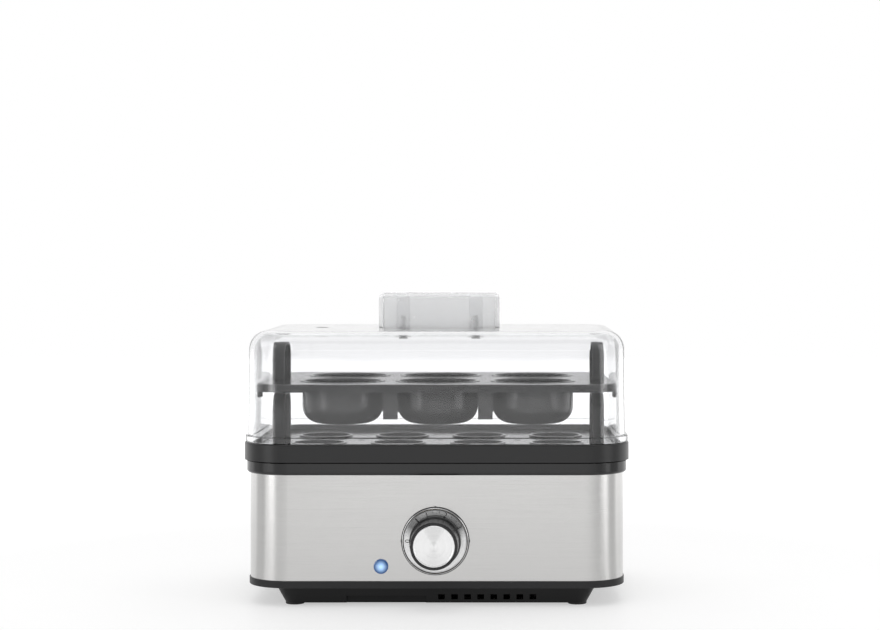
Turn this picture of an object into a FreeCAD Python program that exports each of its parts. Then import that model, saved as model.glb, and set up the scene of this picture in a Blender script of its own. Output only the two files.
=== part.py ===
import FreeCAD, Part
import math
import os
import Sketcher

# Countertop egg cooker, put together: a steel-sleeved base with a water pan and its
# heater, an egg tray on the base, a poaching tray on the egg tray's handles, and a clear
# lid over both. +Z is up, the front with the knob looks along -Y, and the origin is on
# the surface it stands on, under the middle of its bounding box. Lengths in millimetres.

SIZE_TABLE = (
    # Fits
    ("rest_gap", "0.3"),
    ("fit_play", "0.2"),
    ("shaft_play", "0.05"),
    ("overrun", "1.0"),
    # Case, seen from above
    ("case_width", "237.6"),
    ("case_depth", "150.6"),
    ("case_corner", "26.0"),
    ("steel_thickness", "0.8"),
    ("moulding_wall", "2.2"),
    # Levels of the base, from the surface up
    ("foot_height", "1.6"),
    ("plinth_height", "10.0"),
    ("lip_height", "4.5"),
    ("sleeve_height", "66.3"),
    ("bead_height", "7.9"),
    ("step_height", "3.3"),
    ("spigot_height", "4.0"),
    ("lip_overhang", "0.6"),
    ("bead_overhang", "2.2"),
    ("step_overhang", "0.55"),
    ("bead_round", "2.0"),
    ("edge_round", "0.6"),
    # Plinth, feet and vents
    ("plinth_inset_x", "17.8"),
    ("plinth_inset_y", "1.0"),
    ("plinth_draft", "29.4"),
    ("plinth_corner", "14.0"),
    ("foot_radius", "6.0"),
    ("foot_stem_radius", "2.9"),
    ("foot_stem_length", "4.4"),
    ("foot_inset_x", "11.8"),
    ("foot_inset_y", "13.1"),
    ("vent_width", "4.2"),
    ("vent_pitch", "8.2"),
    ("vent_height", "3.6"),
    ("vent_start", "1.6"),
    ("floor_vent_length", "26.0"),
    ("recess_width", "50.0"),
    ("recess_start", "6.0"),
    ("recess_height", "4.8"),
    ("recess_depth", "6.6"),
    # Screw posts
    ("post_inset_x", "7.8"),
    ("post_inset_y", "37.3"),
    ("post_radius", "3.6"),
    ("screw_radius", "1.5"),
    ("screw_head_radius", "2.9"),
    ("screw_head_height", "1.8"),
    ("screw_reach", "14.0"),
    ("boss_rise", "6.0"),
    # Water pan and its seal
    ("opening_inset", "10.0"),
    ("ledge_width", "4.0"),
    ("ledge_sink", "5.6"),
    ("seal_thickness", "1.5"),
    ("pan_thickness", "1.6"),
    ("pan_floor_thickness", "2.0"),
    ("pan_depth", "19.4"),
    ("pan_play", "0.8"),
    ("pan_bottom_round", "6.0"),
    # Heater under the pan
    ("spreader_inset_x", "25.8"),
    ("spreader_inset_y", "15.3"),
    ("spreader_corner", "30.0"),
    ("spreader_thickness", "2.0"),
    ("element_inset", "10.0"),
    ("element_radius", "3.2"),
    ("element_end_gap", "30.0"),
    ("terminal_radius", "1.4"),
    ("terminal_length", "17.0"),
    ("bead_insulator_radius", "3.4"),
    ("bead_insulator_length", "6.0"),
    ("cutout_radius", "8.5"),
    ("cutout_height", "7.0"),
    ("cutout_place_x", "16.0"),
    ("fuse_radius", "2.0"),
    ("fuse_length", "14.0"),
    ("fuse_place_x", "-20.0"),
    ("clip_width", "6.0"),
    ("clip_thickness", "0.8"),
    ("clip_foot", "5.0"),
    ("blade_width", "5.0"),
    ("blade_length", "7.5"),
    # Bars that clamp the pan down, and the heat shield on them
    ("bar_inset", "16.8"),
    ("bar_width", "12.0"),
    ("bar_thickness", "1.5"),
    ("bar_drop", "13.0"),
    ("bar_foot", "4.0"),
    ("bar_reach", "4.4"),
    ("stud_radius", "2.0"),
    ("stud_place_y", "30.0"),
    ("stud_tail", "3.0"),
    ("nut_radius", "4.0"),
    ("nut_height", "3.2"),
    ("shield_margin", "10.0"),
    ("shield_inset", "9.3"),
    ("shield_corner", "14.0"),
    ("shield_thickness", "0.6"),
    ("shield_window_width", "64.0"),
    ("shield_window_depth", "34.0"),
    ("shield_window_inset", "8.0"),
    # Dial, knob and their switch
    ("dial_level", "41.3"),
    ("bezel_radius", "21.4"),
    ("bezel_width", "2.0"),
    ("bezel_proud", "2.2"),
    ("bezel_lug_radius", "1.2"),
    ("bezel_lug_length", "4.0"),
    ("dial_thickness", "0.8"),
    ("switch_width", "36.0"),
    ("switch_height", "30.0"),
    ("switch_depth", "22.0"),
    ("bush_radius", "4.9"),
    ("bush_length", "5.4"),
    ("shaft_radius", "3.0"),
    ("shaft_flat", "1.2"),
    ("shaft_inside", "12.0"),
    ("shaft_reach", "16.0"),
    ("switch_nut_radius", "7.0"),
    ("switch_nut_height", "1.8"),
    ("knob_gap", "1.4"),
    ("knob_proud", "25.6"),
    ("knob_skirt_radius", "16.1"),
    ("knob_skirt_height", "4.0"),
    ("knob_waist_radius", "15.3"),
    ("knob_front_radius", "14.7"),
    ("knob_wall", "2.2"),
    ("knob_hub_radius", "6.0"),
    ("knob_nose_round", "1.2"),
    ("cap_radius", "12.85"),
    ("cap_thickness", "1.0"),
    ("cap_proud", "0.3"),
    ("pointer_width", "1.4"),
    ("pointer_length", "9.0"),
    ("pointer_sink", "0.5"),
    # Indicator
    ("indicator_place_x", "-34.0"),
    ("indicator_level", "25.4"),
    ("lens_radius", "4.6"),
    ("lens_flange", "1.0"),
    ("lens_dome", "1.3"),
    ("lens_barrel_radius", "3.6"),
    ("lens_barrel_length", "7.0"),
    ("lens_wall", "0.9"),
    ("lamp_radius", "2.4"),
    ("lamp_length", "6.0"),
    ("board_width", "18.0"),
    ("board_height", "12.0"),
    ("board_thickness", "1.6"),
    # Inlet at the back
    ("inlet_inset", "48.8"),
    ("inlet_level", "34.0"),
    ("gland_radius", "6.4"),
    ("gland_flange_radius", "9.0"),
    ("gland_proud", "6.0"),
    ("gland_inside", "9.0"),
    ("gland_flange", "2.4"),
    ("cord_bore", "3.4"),
    ("block_width", "30.0"),
    ("block_depth", "14.0"),
    ("block_height", "14.0"),
    ("block_shift", "26.0"),
    ("block_margin", "17.1"),
    # Leads inside the base
    ("lead_radius", "1.1"),
    ("lead_drop", "14.0"),
    ("lead_stub", "14.0"),
    # Egg tray
    ("tray_overhang", "3.7"),
    ("tray_wall", "2.7"),
    ("tray_floor", "2.0"),
    ("tray_rim", "3.6"),
    ("tray_round", "1.2"),
    ("seat_margin", "5.45"),
    ("egg_pitch_y", "50.0"),
    ("seat_radius", "16.0"),
    ("seat_hole_radius", "10.0"),
    ("seat_depth", "12.0"),
    ("seat_wall", "1.8"),
    ("seat_barrel_wall", "1.0"),
    ("seat_lip_radius", "17.9"),
    ("seat_lip_height", "0.9"),
    ("steam_hole_radius", "2.5"),
    # Strap handles of both trays
    ("strap_width", "8.4"),
    ("strap_thickness", "2.4"),
    ("strap_span", "43.0"),
    ("strap_corner", "13.0"),
    ("strap_foot_corner", "3.0"),
    ("strap_inset", "14.0"),
    ("strap_round", "0.7"),
    ("egg_strap_rise", "28.7"),
    ("poach_strap_rise", "25.2"),
    ("poach_strap_sink", "3.0"),
    # Poaching tray
    ("poach_inset", "3.65"),
    ("poach_skirt", "5.0"),
    ("poach_wall", "2.0"),
    ("poach_round", "2.2"),
    ("cup_margin_x", "22.9"),
    ("cup_margin_y", "10.65"),
    ("cup_gap", "4.5"),
    ("cup_lip_overhang", "1.5"),
    ("cup_lip_height", "0.3"),
    ("cup_depth", "27.0"),
    ("cup_wall", "1.8"),
    ("cup_bottom_round", "11.0"),
    ("cup_rim_round", "1.5"),
    ("web_thickness", "2.4"),
    ("web_rise", "2.0"),
    ("lug_length", "10.0"),
    ("lug_drop", "4.5"),
    ("lug_inset", "0.3"),
    # Lid
    ("lid_overhang", "1.6"),
    ("lid_height", "70.1"),
    ("lid_draft", "0.7"),
    ("lid_wall", "2.0"),
    ("lid_round", "12.0"),
    ("lid_flange_overhang", "3.2"),
    ("lid_flange_height", "3.8"),
    ("steam_vent_radius", "4.2"),
    ("steam_vent_inset", "41.2"),
    ("grip_width", "79.5"),
    ("grip_depth", "24.0"),
    ("grip_height", "23.0"),
    ("grip_wall", "2.8"),
    ("grip_boss_radius", "4.5"),
    ("grip_corner", "5.5"),
    ("grip_round", "3.6"),
    ("grip_screw_x", "24.0"),
    ("grip_screw_depth", "9.0"),
    ("washer_radius", "5.0"),
    ("washer_thickness", "1.0"),
)

# Counts
EGG_COLUMNS = 4
CUP_COLUMNS = 3
VENT_COUNT = 8
FLOOR_VENT_COUNT = 9
HEX_SIDES = 6
SIDES = (-1, 1)
FULL_TURN = 360
QUARTER = 90
TOLERANCE = 1e-4

# Shares
ARC_SHARE = 0.45
LEAD_SLACK_SHARE = 1.5
LEAD_RISE_SHARE = 0.25
FUSE_WIRE_SHARE = 0.25
LENS_CROWN_SHARES = ((0.5, 0.8), (0.85, 0.3))

doc = FreeCAD.newDocument("egg_cooker")
sheet = doc.addObject("Spreadsheet::Sheet", "Sizes")
for row, (alias, number) in enumerate(SIZE_TABLE, start=1):
    sheet.set(f"A{row}", alias)
    sheet.set(f"B{row}", number)
    sheet.setAlias(f"B{row}", alias)
doc.recompute()


class Size:
    """A length or angle: its number now, and the sheet formula that keeps it true."""

    def __init__(self, number, formula):
        self.number = number
        self.formula = formula

    def joined(self, sign, other, number):
        return Size(number, f"({self.formula} {sign} {as_size(other).formula})")

    def __add__(self, other):
        return self.joined("+", other, self.number + as_size(other).number)

    def __sub__(self, other):
        return self.joined("-", other, self.number - as_size(other).number)

    def __mul__(self, other):
        return self.joined("*", other, self.number * as_size(other).number)

    def __truediv__(self, other):
        return self.joined("/", other, self.number / as_size(other).number)

    def __neg__(self):
        return Size(-self.number, f"(-1 * {self.formula})")

    def __rmul__(self, other):
        return as_size(other) * self

    def __radd__(self, other):
        return as_size(other) + self


def as_size(value):
    return value if isinstance(value, Size) else Size(float(value), str(float(value)))


class SheetSizes:
    """The sheet's sizes by name."""

    def __getattr__(self, alias):
        return Size(float(getattr(sheet, alias)), f"Sizes.{alias}")


s = SheetSizes()
ZERO = as_size(0)


def smaller(one, other):
    return Size(min(one.number, other.number), f"min({one.formula}; {other.formula})")


def bind(item, name, size):
    item.setExpression(name, as_size(size).formula)


def vector(x, y):
    return FreeCAD.Vector(as_size(x).number, as_size(y).number, 0)


# Places worked out from the sizes. They are measured from the case's own middle, and
# every piece then moves by case_middle, so that the bounding box stands over the origin.
case_middle = (s.knob_proud + s.cap_proud - s.gland_proud) / 2
plinth_top = s.foot_height + s.plinth_height
lip_top = plinth_top + s.lip_height
sleeve_top = lip_top + s.sleeve_height
shoulder = sleeve_top + s.bead_height
collar_top = shoulder + s.step_height
front = -s.case_depth / 2
back = s.case_depth / 2
ledge = collar_top - s.ledge_sink
pan_rim = ledge + s.seal_thickness + s.pan_thickness
pan_floor = pan_rim - s.pan_depth
pan_under = pan_floor - s.pan_floor_thickness
spreader_under = pan_under - s.spreader_thickness
element_level = spreader_under - s.element_radius
bar_level = pan_under - s.bar_drop
tray_bottom = shoulder + s.rest_gap
egg_strap_foot = collar_top + s.rest_gap
tray_under = egg_strap_foot + s.strap_thickness + s.shaft_play
tray_deck = tray_under + s.tray_floor
tray_top = tray_deck + s.tray_rim
egg_strap_top = tray_top + s.egg_strap_rise
poach_foot = egg_strap_top + s.rest_gap
poach_bottom = poach_foot + s.poach_strap_sink
poach_top = poach_bottom + s.poach_skirt
cup_bottom = poach_top - s.cup_depth
lid_bottom = tray_top + s.rest_gap
lid_foot = tray_deck + s.rest_gap + s.fit_play
lid_top = lid_bottom + s.lid_height


class Outline:
    """A rounded rectangle about the middle of the case, grown or shrunk evenly."""

    def __init__(self, width, depth, corner):
        self.width = width
        self.depth = depth
        self.corner = corner

    def grown(self, by):
        return Outline(self.width + 2 * by, self.depth + 2 * by, self.corner + by)

    def distance(self, point):
        """How far a point lies outside the outline, seen from above."""
        across = abs(point.x) - self.width.number / 2 + self.corner.number
        along = abs(point.y) - self.depth.number / 2 + self.corner.number
        outside = math.hypot(max(across, 0), max(along, 0))
        return outside + min(max(across, along), 0) - self.corner.number


case = Outline(s.case_width, s.case_depth, s.case_corner)
spigot = case.grown(-(s.steel_thickness + s.fit_play))
opening = case.grown(-s.opening_inset)
throat = opening.grown(-s.ledge_width)
plinth = Outline(case.width - 2 * s.plinth_inset_x, case.depth - 2 * s.plinth_inset_y,
                 s.plinth_corner)
spreader = Outline(throat.width - 2 * s.spreader_inset_x, throat.depth - 2 * s.spreader_inset_y,
                   s.spreader_corner)
element = spreader.grown(-s.element_inset)
poach_plate = case.grown(-s.poach_inset)

foot_x = plinth.width / 2 - s.foot_inset_x
foot_y = plinth.depth / 2 - s.foot_inset_y
post_x = case.width / 2 - s.post_inset_x
post_y = case.depth / 2 - s.post_inset_y
bar_x = throat.width / 2 - s.bar_inset
inlet_x = case.width / 2 - s.inlet_inset
block_x = inlet_x - s.block_shift
plinth_reach = plinth.depth / 2 - s.plinth_height - s.moulding_wall
block_y = plinth_reach - s.block_margin - s.block_depth / 2
strap_x = case.width / 2 - s.strap_inset
seat_barrel = s.seat_radius + s.seat_barrel_wall
last_seat_x = strap_x - s.strap_width / 2 - s.seat_margin - s.seat_lip_radius
cup_pitch_x = (poach_plate.width - 2 * s.cup_margin_x) / CUP_COLUMNS
cup_pitch_y = poach_plate.depth / 2 - s.cup_margin_y
cup_radius = smaller(cup_pitch_x, cup_pitch_y) / 2 - s.cup_gap
egg_pitch_x = 2 * last_seat_x / (EGG_COLUMNS - 1)

BODIES = []


def new_body(label):
    """An empty body that stands where the case stands."""
    body = doc.addObject("PartDesign::Body", label)
    body.Label = label
    bind(body, "Placement.Base.y", case_middle)
    BODIES.append(body)
    return body


def origin_item(body, role):
    return [item for item in body.Origin.OriginFeatures if item.Role == role][0]


def new_sketch(body, name, x=ZERO, y=ZERO, z=ZERO, plane="XY_Plane"):
    """A sketch on one of the body's own planes, with its zero point at x, y, z."""
    sketch = body.newObject("Sketcher::SketchObject", name)
    sketch.AttachmentSupport = [(origin_item(body, plane), "")]
    sketch.MapMode = "FlatFace"
    local = {"XY_Plane": (x, y, z), "XZ_Plane": (x, z, -y), "YZ_Plane": (y, z, x)}[plane]
    for axis, size in zip("xyz", local):
        bind(sketch, f"AttachmentOffset.Base.{axis}", size)
    return sketch


def constrain(sketch, size, kind, *places):
    """A driving dimension that follows a size."""
    index = sketch.addConstraint(Sketcher.Constraint(kind, *places, size.number))
    sketch.setExpression(f"Constraints[{index}]", size.formula)


def draw_rounded(sketch, outline):
    """A closed rounded rectangle about the sketch's zero point."""
    half_w = outline.width.number / 2
    half_d = outline.depth.number / 2
    corner = outline.corner.number
    first = sketch.GeometryCount
    turn = math.pi / 2

    def line(x1, y1, x2, y2):
        return Part.LineSegment(FreeCAD.Vector(x1, y1, 0), FreeCAD.Vector(x2, y2, 0))

    def arc(x, y, start):
        circle = Part.Circle(FreeCAD.Vector(x, y, 0), FreeCAD.Vector(0, 0, 1), corner)
        return Part.ArcOfCircle(circle, start * turn, (start + 1) * turn)

    in_x = half_w - corner
    in_y = half_d - corner
    sketch.addGeometry([
        line(-in_x, -half_d, in_x, -half_d), arc(in_x, -in_y, 3),
        line(half_w, -in_y, half_w, in_y), arc(in_x, in_y, 0),
        line(in_x, half_d, -in_x, half_d), arc(-in_x, in_y, 1),
        line(-half_w, in_y, -half_w, -in_y), arc(-in_x, -in_y, 2),
    ], False)
    add = sketch.addConstraint
    for index in range(8):
        add(Sketcher.Constraint("Tangent", first + index, 2, first + (index + 1) % 8, 1))
    for index in (3, 5, 7):
        add(Sketcher.Constraint("Equal", first + 1, first + index))
    add(Sketcher.Constraint("Horizontal", first + 4))
    add(Sketcher.Constraint("Vertical", first + 6))
    add(Sketcher.Constraint("Symmetric", first, 1, first, 2, -2))
    add(Sketcher.Constraint("Symmetric", first + 2, 1, first + 2, 2, -1))
    constrain(sketch, outline.width, "DistanceX", first + 6, 1, first + 2, 1)
    constrain(sketch, outline.depth, "DistanceY", first, 1, first + 4, 1)
    constrain(sketch, outline.corner, "Radius", first + 1)


def draw_polygon(sketch, points):
    """A closed chain of straight lines whose corners follow their sizes."""
    count = len(points)
    first = sketch.GeometryCount
    for index, (x, y) in enumerate(points):
        end = points[(index + 1) % count]
        sketch.addGeometry(Part.LineSegment(vector(x, y), vector(*end)), False)
    for index, (x, y) in enumerate(points):
        following = first + (index + 1) % count
        index += first
        sketch.addConstraint(Sketcher.Constraint("Coincident", index, 2, following, 1))
        constrain(sketch, as_size(x), "DistanceX", -1, 1, index, 1)
        constrain(sketch, as_size(y), "DistanceY", -1, 1, index, 1)


def draw_circle(sketch, radius, x, y):
    index = sketch.GeometryCount
    circle = Part.Circle(vector(x, y), FreeCAD.Vector(0, 0, 1), radius.number)
    sketch.addGeometry(circle, False)
    constrain(sketch, as_size(x), "DistanceX", -1, 1, index, 3)
    constrain(sketch, as_size(y), "DistanceY", -1, 1, index, 3)
    constrain(sketch, radius, "Radius", index)


def extrude(body, name, sketch, length, cut=False, draft=None, middle=False):
    """Pad along the sketch's normal, or pocket against it."""
    kind = "PartDesign::Pocket" if cut else "PartDesign::Pad"
    feature = body.newObject(kind, name)
    feature.Profile = sketch
    feature.Midplane = middle
    bind(feature, "Length", length)
    if draft is not None:
        bind(feature, "TaperAngle", draft)
    return feature


def slab(body, name, outlines, height, z, x=ZERO, y=ZERO, cut=False, draft=None):
    """A block on one rounded outline, or a ring between two, from z up by height."""
    level = z + height if cut else z
    sketch = new_sketch(body, name + "_outline", x, y, level)
    for outline in outlines:
        draw_rounded(sketch, outline)
    return extrude(body, name, sketch, height, cut, draft)


def box(body, name, width, depth, height, x, y, z, cut=False):
    """A plain block centred on x and y and standing on z."""
    kind = "PartDesign::SubtractiveBox" if cut else "PartDesign::AdditiveBox"
    feature = body.newObject(kind, name)
    bind(feature, "Length", width)
    bind(feature, "Width", depth)
    bind(feature, "Height", height)
    bind(feature, "Placement.Base.x", x - width / 2)
    bind(feature, "Placement.Base.y", y - depth / 2)
    bind(feature, "Placement.Base.z", z)
    return feature


UP = FreeCAD.Rotation()
FORWARD = FreeCAD.Rotation(FreeCAD.Vector(1, 0, 0), QUARTER)


def place_round(feature, x, y, z, direction):
    feature.Placement = FreeCAD.Placement(FreeCAD.Vector(), direction)
    for axis, size in zip("xyz", (x, y, z)):
        bind(feature, f"Placement.Base.{axis}", size)


def rod(body, name, radius, length, x, y, z, direction=UP, cut=False):
    """A cylinder that starts at x, y, z and runs up or forward."""
    kind = "PartDesign::SubtractiveCylinder" if cut else "PartDesign::AdditiveCylinder"
    feature = body.newObject(kind, name)
    bind(feature, "Radius", radius)
    bind(feature, "Height", length)
    place_round(feature, x, y, z, direction)
    return feature


def rods(body, name, radius, length, places, z, cut=False):
    """Upright cylinders at several places, in one sketch."""
    sketch = new_sketch(body, name + "_outline", z=z + length if cut else z)
    for x, y in places:
        draw_circle(sketch, radius, x, y)
    return extrude(body, name, sketch, length, cut)


def boxes(body, name, width, depth, height, places, z, cut=False):
    """Upright blocks at several places, in one sketch."""
    sketch = new_sketch(body, name + "_outline", z=z + height if cut else z)
    for x, y in places:
        left = x - width / 2
        near = y - depth / 2
        draw_polygon(sketch, [(left, near), (left + width, near),
                              (left + width, near + depth), (left, near + depth)])
    return extrude(body, name, sketch, height, cut)


def grid(body, name, feature, columns, pitch_x, rows, pitch_y):
    """Repeat a feature to the right and to the back."""
    pattern = body.newObject("PartDesign::LinearPattern", name)
    pattern.Originals = [feature]
    pattern.Direction = (origin_item(body, "X_Axis"), [""])
    pattern.Occurrences = columns
    bind(pattern, "Length", pitch_x * (columns - 1))
    pattern.Direction2 = (origin_item(body, "Y_Axis"), [""])
    pattern.Occurrences2 = rows
    bind(pattern, "Length2", pitch_y * (rows - 1))
    body.Tip = pattern
    return pattern


def hexagon(body, name, radius, height, x, y, z, direction=UP):
    """A nut's six-sided block, radius to its corners."""
    feature = body.newObject("PartDesign::AdditivePrism", name)
    feature.Polygon = HEX_SIDES
    bind(feature, "Circumradius", radius)
    bind(feature, "Height", height)
    place_round(feature, x, y, z, direction)
    return feature


def turn(body, name, sketch, cut=False):
    """Turn a profile a full turn about its sketch's upright line."""
    feature = body.newObject("PartDesign::Groove" if cut else "PartDesign::Revolution", name)
    feature.Profile = sketch
    feature.ReferenceAxis = (sketch, ["V_Axis"])
    feature.Angle = FULL_TURN
    return feature


def turned(body, name, points, x, z):
    """A turned piece on an axis along Y: the points are radius and place along Y."""
    sketch = new_sketch(body, name + "_profile", x, ZERO, z)
    draw_polygon(sketch, points)
    return turn(body, name, sketch)


def bowl(body, name, radius, depth, corner, x, y, z, cut=False):
    """A round cup about an upright axis, with a rounded bottom at z, or its hollow."""
    sketch = new_sketch(body, name + "_profile", x, y, z, "XZ_Plane")
    flat = radius - corner
    centre = vector(flat, corner)
    circle = Part.Circle(centre, FreeCAD.Vector(0, 0, 1), corner.number)
    sketch.addGeometry([
        Part.LineSegment(vector(ZERO, ZERO), vector(flat, ZERO)),
        Part.ArcOfCircle(circle, 1.5 * math.pi, 2 * math.pi),
        Part.LineSegment(vector(radius, corner), vector(radius, depth)),
        Part.LineSegment(vector(radius, depth), vector(ZERO, depth)),
        Part.LineSegment(vector(ZERO, depth), vector(ZERO, ZERO)),
    ], False)
    add = sketch.addConstraint
    add(Sketcher.Constraint("Coincident", 0, 1, -1, 1))
    add(Sketcher.Constraint("Tangent", 0, 2, 1, 1))
    add(Sketcher.Constraint("Tangent", 1, 2, 2, 1))
    for index in (2, 3):
        add(Sketcher.Constraint("Coincident", index, 2, index + 1, 1))
    add(Sketcher.Constraint("Coincident", 4, 2, 0, 1))
    for index, kind in ((0, "Horizontal"), (2, "Vertical"), (3, "Horizontal"),
                        (4, "Vertical")):
        add(Sketcher.Constraint(kind, index))
    constrain(sketch, corner, "Radius", 1)
    constrain(sketch, radius, "DistanceX", -1, 1, 2, 2)
    constrain(sketch, depth, "DistanceY", -1, 1, 2, 2)
    return turn(body, name, sketch, cut)


def round_edges(body, name, radius, chosen):
    """A fillet on the edges of the body that the rule picks."""
    doc.recompute()
    tip = body.Tip
    edges = tip.Shape.Edges
    names = [f"Edge{index}" for index, edge in enumerate(edges, start=1) if chosen(edge)]
    if not names:
        raise ValueError(f"{body.Label}: {name} found no edge")
    feature = body.newObject("PartDesign::Fillet", name)
    feature.Base = (tip, names)
    bind(feature, "Radius", radius)
    return feature


def flat_at(edge, level):
    """Whether an edge lies level at a height."""
    bounds = edge.BoundBox
    low = abs(bounds.ZMin - level.number) < TOLERANCE
    return low and abs(bounds.ZMax - level.number) < TOLERANCE


def middle_of(edge):
    return edge.valueAt((edge.FirstParameter + edge.LastParameter) / 2)


def along_outline(outline, level):
    """A rule for the edges that run along an outline at a height."""
    def chosen(edge):
        near = abs(outline.distance(middle_of(edge))) < TOLERANCE
        return near and flat_at(edge, level)
    return chosen


def circles_at(radius, level):
    """A rule for the level circles of one radius at a height."""
    def chosen(edge):
        if not isinstance(edge.Curve, Part.Circle):
            return False
        same = abs(edge.Curve.Radius - radius.number) < TOLERANCE
        return same and flat_at(edge, level)
    return chosen


def circles_facing(radius, place):
    """A rule for circles of one radius that face forward at a place along Y."""
    def chosen(edge):
        if not isinstance(edge.Curve, Part.Circle):
            return False
        same = abs(edge.Curve.Radius - radius.number) < TOLERANCE
        return same and abs(edge.Curve.Center.y - place.number) < TOLERANCE
    return chosen


def spread(x, y):
    """The four places at plus and minus x and y."""
    return [(side_x * x, side_y * y) for side_x in SIDES for side_y in SIDES]


def posts():
    return spread(post_x, post_y)


def studs():
    return spread(bar_x, s.stud_place_y)


def first_place(count, pitch):
    """Where a row of places starts, so that its middle is at zero."""
    return -(count - 1) / 2 * pitch


def row_places(count, pitch, start):
    return [start + number * pitch for number in range(count)]


def two_rows(columns, pitch_x, pitch_y):
    """The places of a front and a back row of round things."""
    return [(x, side * pitch_y / 2) for side in SIDES
            for x in row_places(columns, pitch_x, first_place(columns, pitch_x))]


# The base: feet, bottom cover, steel sleeve and collar

def feet():
    body = new_body("feet")
    places = spread(foot_x, foot_y)
    rods(body, "pads", s.foot_radius, s.foot_height, places, ZERO)
    rods(body, "stems", s.foot_stem_radius, s.foot_stem_length, places, s.foot_height)
    round_edges(body, "pad_edge", s.edge_round, circles_at(s.foot_radius, ZERO))


def bottom_cover():
    body = new_body("bottom_cover")
    wall = s.moulding_wall
    lip = case.grown(s.lip_overhang)
    slab(body, "lip", [lip], s.lip_height, plinth_top)
    slab(body, "spigot", [spigot], s.spigot_height, lip_top)
    round_edges(body, "lip_edge", s.edge_round, along_outline(lip, plinth_top))
    plinth_sketch = new_sketch(body, "plinth_outline", z=plinth_top)
    draw_rounded(plinth_sketch, plinth)
    skirt = extrude(body, "plinth", plinth_sketch, s.plinth_height, draft=-s.plinth_draft)
    skirt.Reversed = True
    deck = plinth_top + wall
    slab(body, "inside", [spigot.grown(-wall)], lip_top + s.spigot_height - deck, deck,
         cut=True)
    floor_top = s.foot_height + wall
    well = plinth.grown(-(s.plinth_height + wall))
    slab(body, "well", [well], deck - floor_top, floor_top, cut=True)
    rods(body, "bosses", s.post_radius, s.boss_rise, posts(), deck)
    rods(body, "screw_holes", s.screw_radius + s.fit_play, s.boss_rise + wall + s.overrun,
         posts(), plinth_top, cut=True)
    rods(body, "head_recesses", s.screw_head_radius + s.fit_play, s.screw_head_height,
         posts(), plinth_top, cut=True)
    rods(body, "foot_holes", s.foot_stem_radius + s.fit_play,
         s.foot_stem_length + s.fit_play,
         spread(foot_x, foot_y), s.foot_height, cut=True)
    vent_y = plinth.depth / -2 + s.plinth_height
    vents = row_places(VENT_COUNT, s.vent_pitch, s.vent_start + s.vent_width / 2)
    boxes(body, "front_vents", s.vent_width, 2 * s.plinth_height + s.overrun, s.vent_height,
          [(x, vent_y) for x in vents], floor_top, cut=True)
    boxes(body, "front_recess", s.recess_width, 2 * s.recess_depth, s.recess_height,
          [(-(s.recess_start + s.recess_width / 2), plinth.depth / -2)], s.foot_height,
          cut=True)
    slots = row_places(FLOOR_VENT_COUNT, s.vent_pitch,
                       first_place(FLOOR_VENT_COUNT, s.vent_pitch))
    rows = [side * (s.floor_vent_length / 2 + s.vent_width) for side in SIDES]
    boxes(body, "floor_vents", s.vent_width, s.floor_vent_length, wall,
          [(x, y) for x in slots for y in rows], s.foot_height, cut=True)


def steel_sleeve():
    body = new_body("steel_sleeve")
    slab(body, "wall", [case, case.grown(-s.steel_thickness)], s.sleeve_height, lip_top)
    through = s.steel_thickness + 2 * s.overrun
    rod(body, "bush_hole", s.bush_radius + s.fit_play, through, ZERO,
        front + s.steel_thickness + s.overrun, s.dial_level, FORWARD, cut=True)
    rod(body, "lens_hole", s.lens_barrel_radius + s.fit_play, through,
        s.indicator_place_x, front + s.steel_thickness + s.overrun, s.indicator_level,
        FORWARD, cut=True)
    rod(body, "inlet_hole", s.gland_radius + s.fit_play, through, inlet_x,
        back + s.overrun, s.inlet_level, FORWARD, cut=True)
    for number, (x, z) in enumerate(lug_places()):
        rod(body, f"lug_hole_{number}", s.bezel_lug_radius + s.fit_play, through, x,
            front + s.steel_thickness + s.overrun, z, FORWARD, cut=True)


def top_collar():
    body = new_body("top_collar")
    wall = s.moulding_wall
    bead = case.grown(s.bead_overhang)
    step = case.grown(s.step_overhang)
    slab(body, "bead", [bead], s.bead_height, sleeve_top)
    slab(body, "step", [step], s.step_height, shoulder)
    slab(body, "spigot", [spigot], s.spigot_height, sleeve_top - s.spigot_height)
    slab(body, "opening", [opening], s.ledge_sink, ledge, cut=True)
    tall = ledge - sleeve_top + s.spigot_height
    slab(body, "throat", [throat], tall, sleeve_top - s.spigot_height, cut=True)
    slab(body, "hollow", [spigot.grown(-wall), throat.grown(wall)], tall - wall,
         sleeve_top - s.spigot_height, cut=True)
    post_bottom = plinth_top + wall + s.boss_rise
    rods(body, "posts", s.post_radius, ledge - wall - post_bottom, posts(), post_bottom)
    rods(body, "post_bores", s.screw_radius + s.shaft_play, s.screw_reach, posts(),
         post_bottom, cut=True)
    round_edges(body, "bead_edge", s.bead_round, along_outline(bead, sleeve_top))
    round_edges(body, "shoulder_edge", s.edge_round, along_outline(bead, shoulder))
    round_edges(body, "rim_edge", s.edge_round, along_outline(step, collar_top))
    round_edges(body, "mouth_edge", s.edge_round, along_outline(opening, collar_top))


def cover_screws():
    body = new_body("cover_screws")
    head_top = plinth_top + s.screw_head_height
    length = plinth_top + s.moulding_wall + s.boss_rise + s.screw_reach - head_top
    rods(body, "heads", s.screw_head_radius, s.screw_head_height, posts(), plinth_top)
    rods(body, "shanks", s.screw_radius, length, posts(), head_top)


# The water pan, what seals it and what heats it

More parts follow.
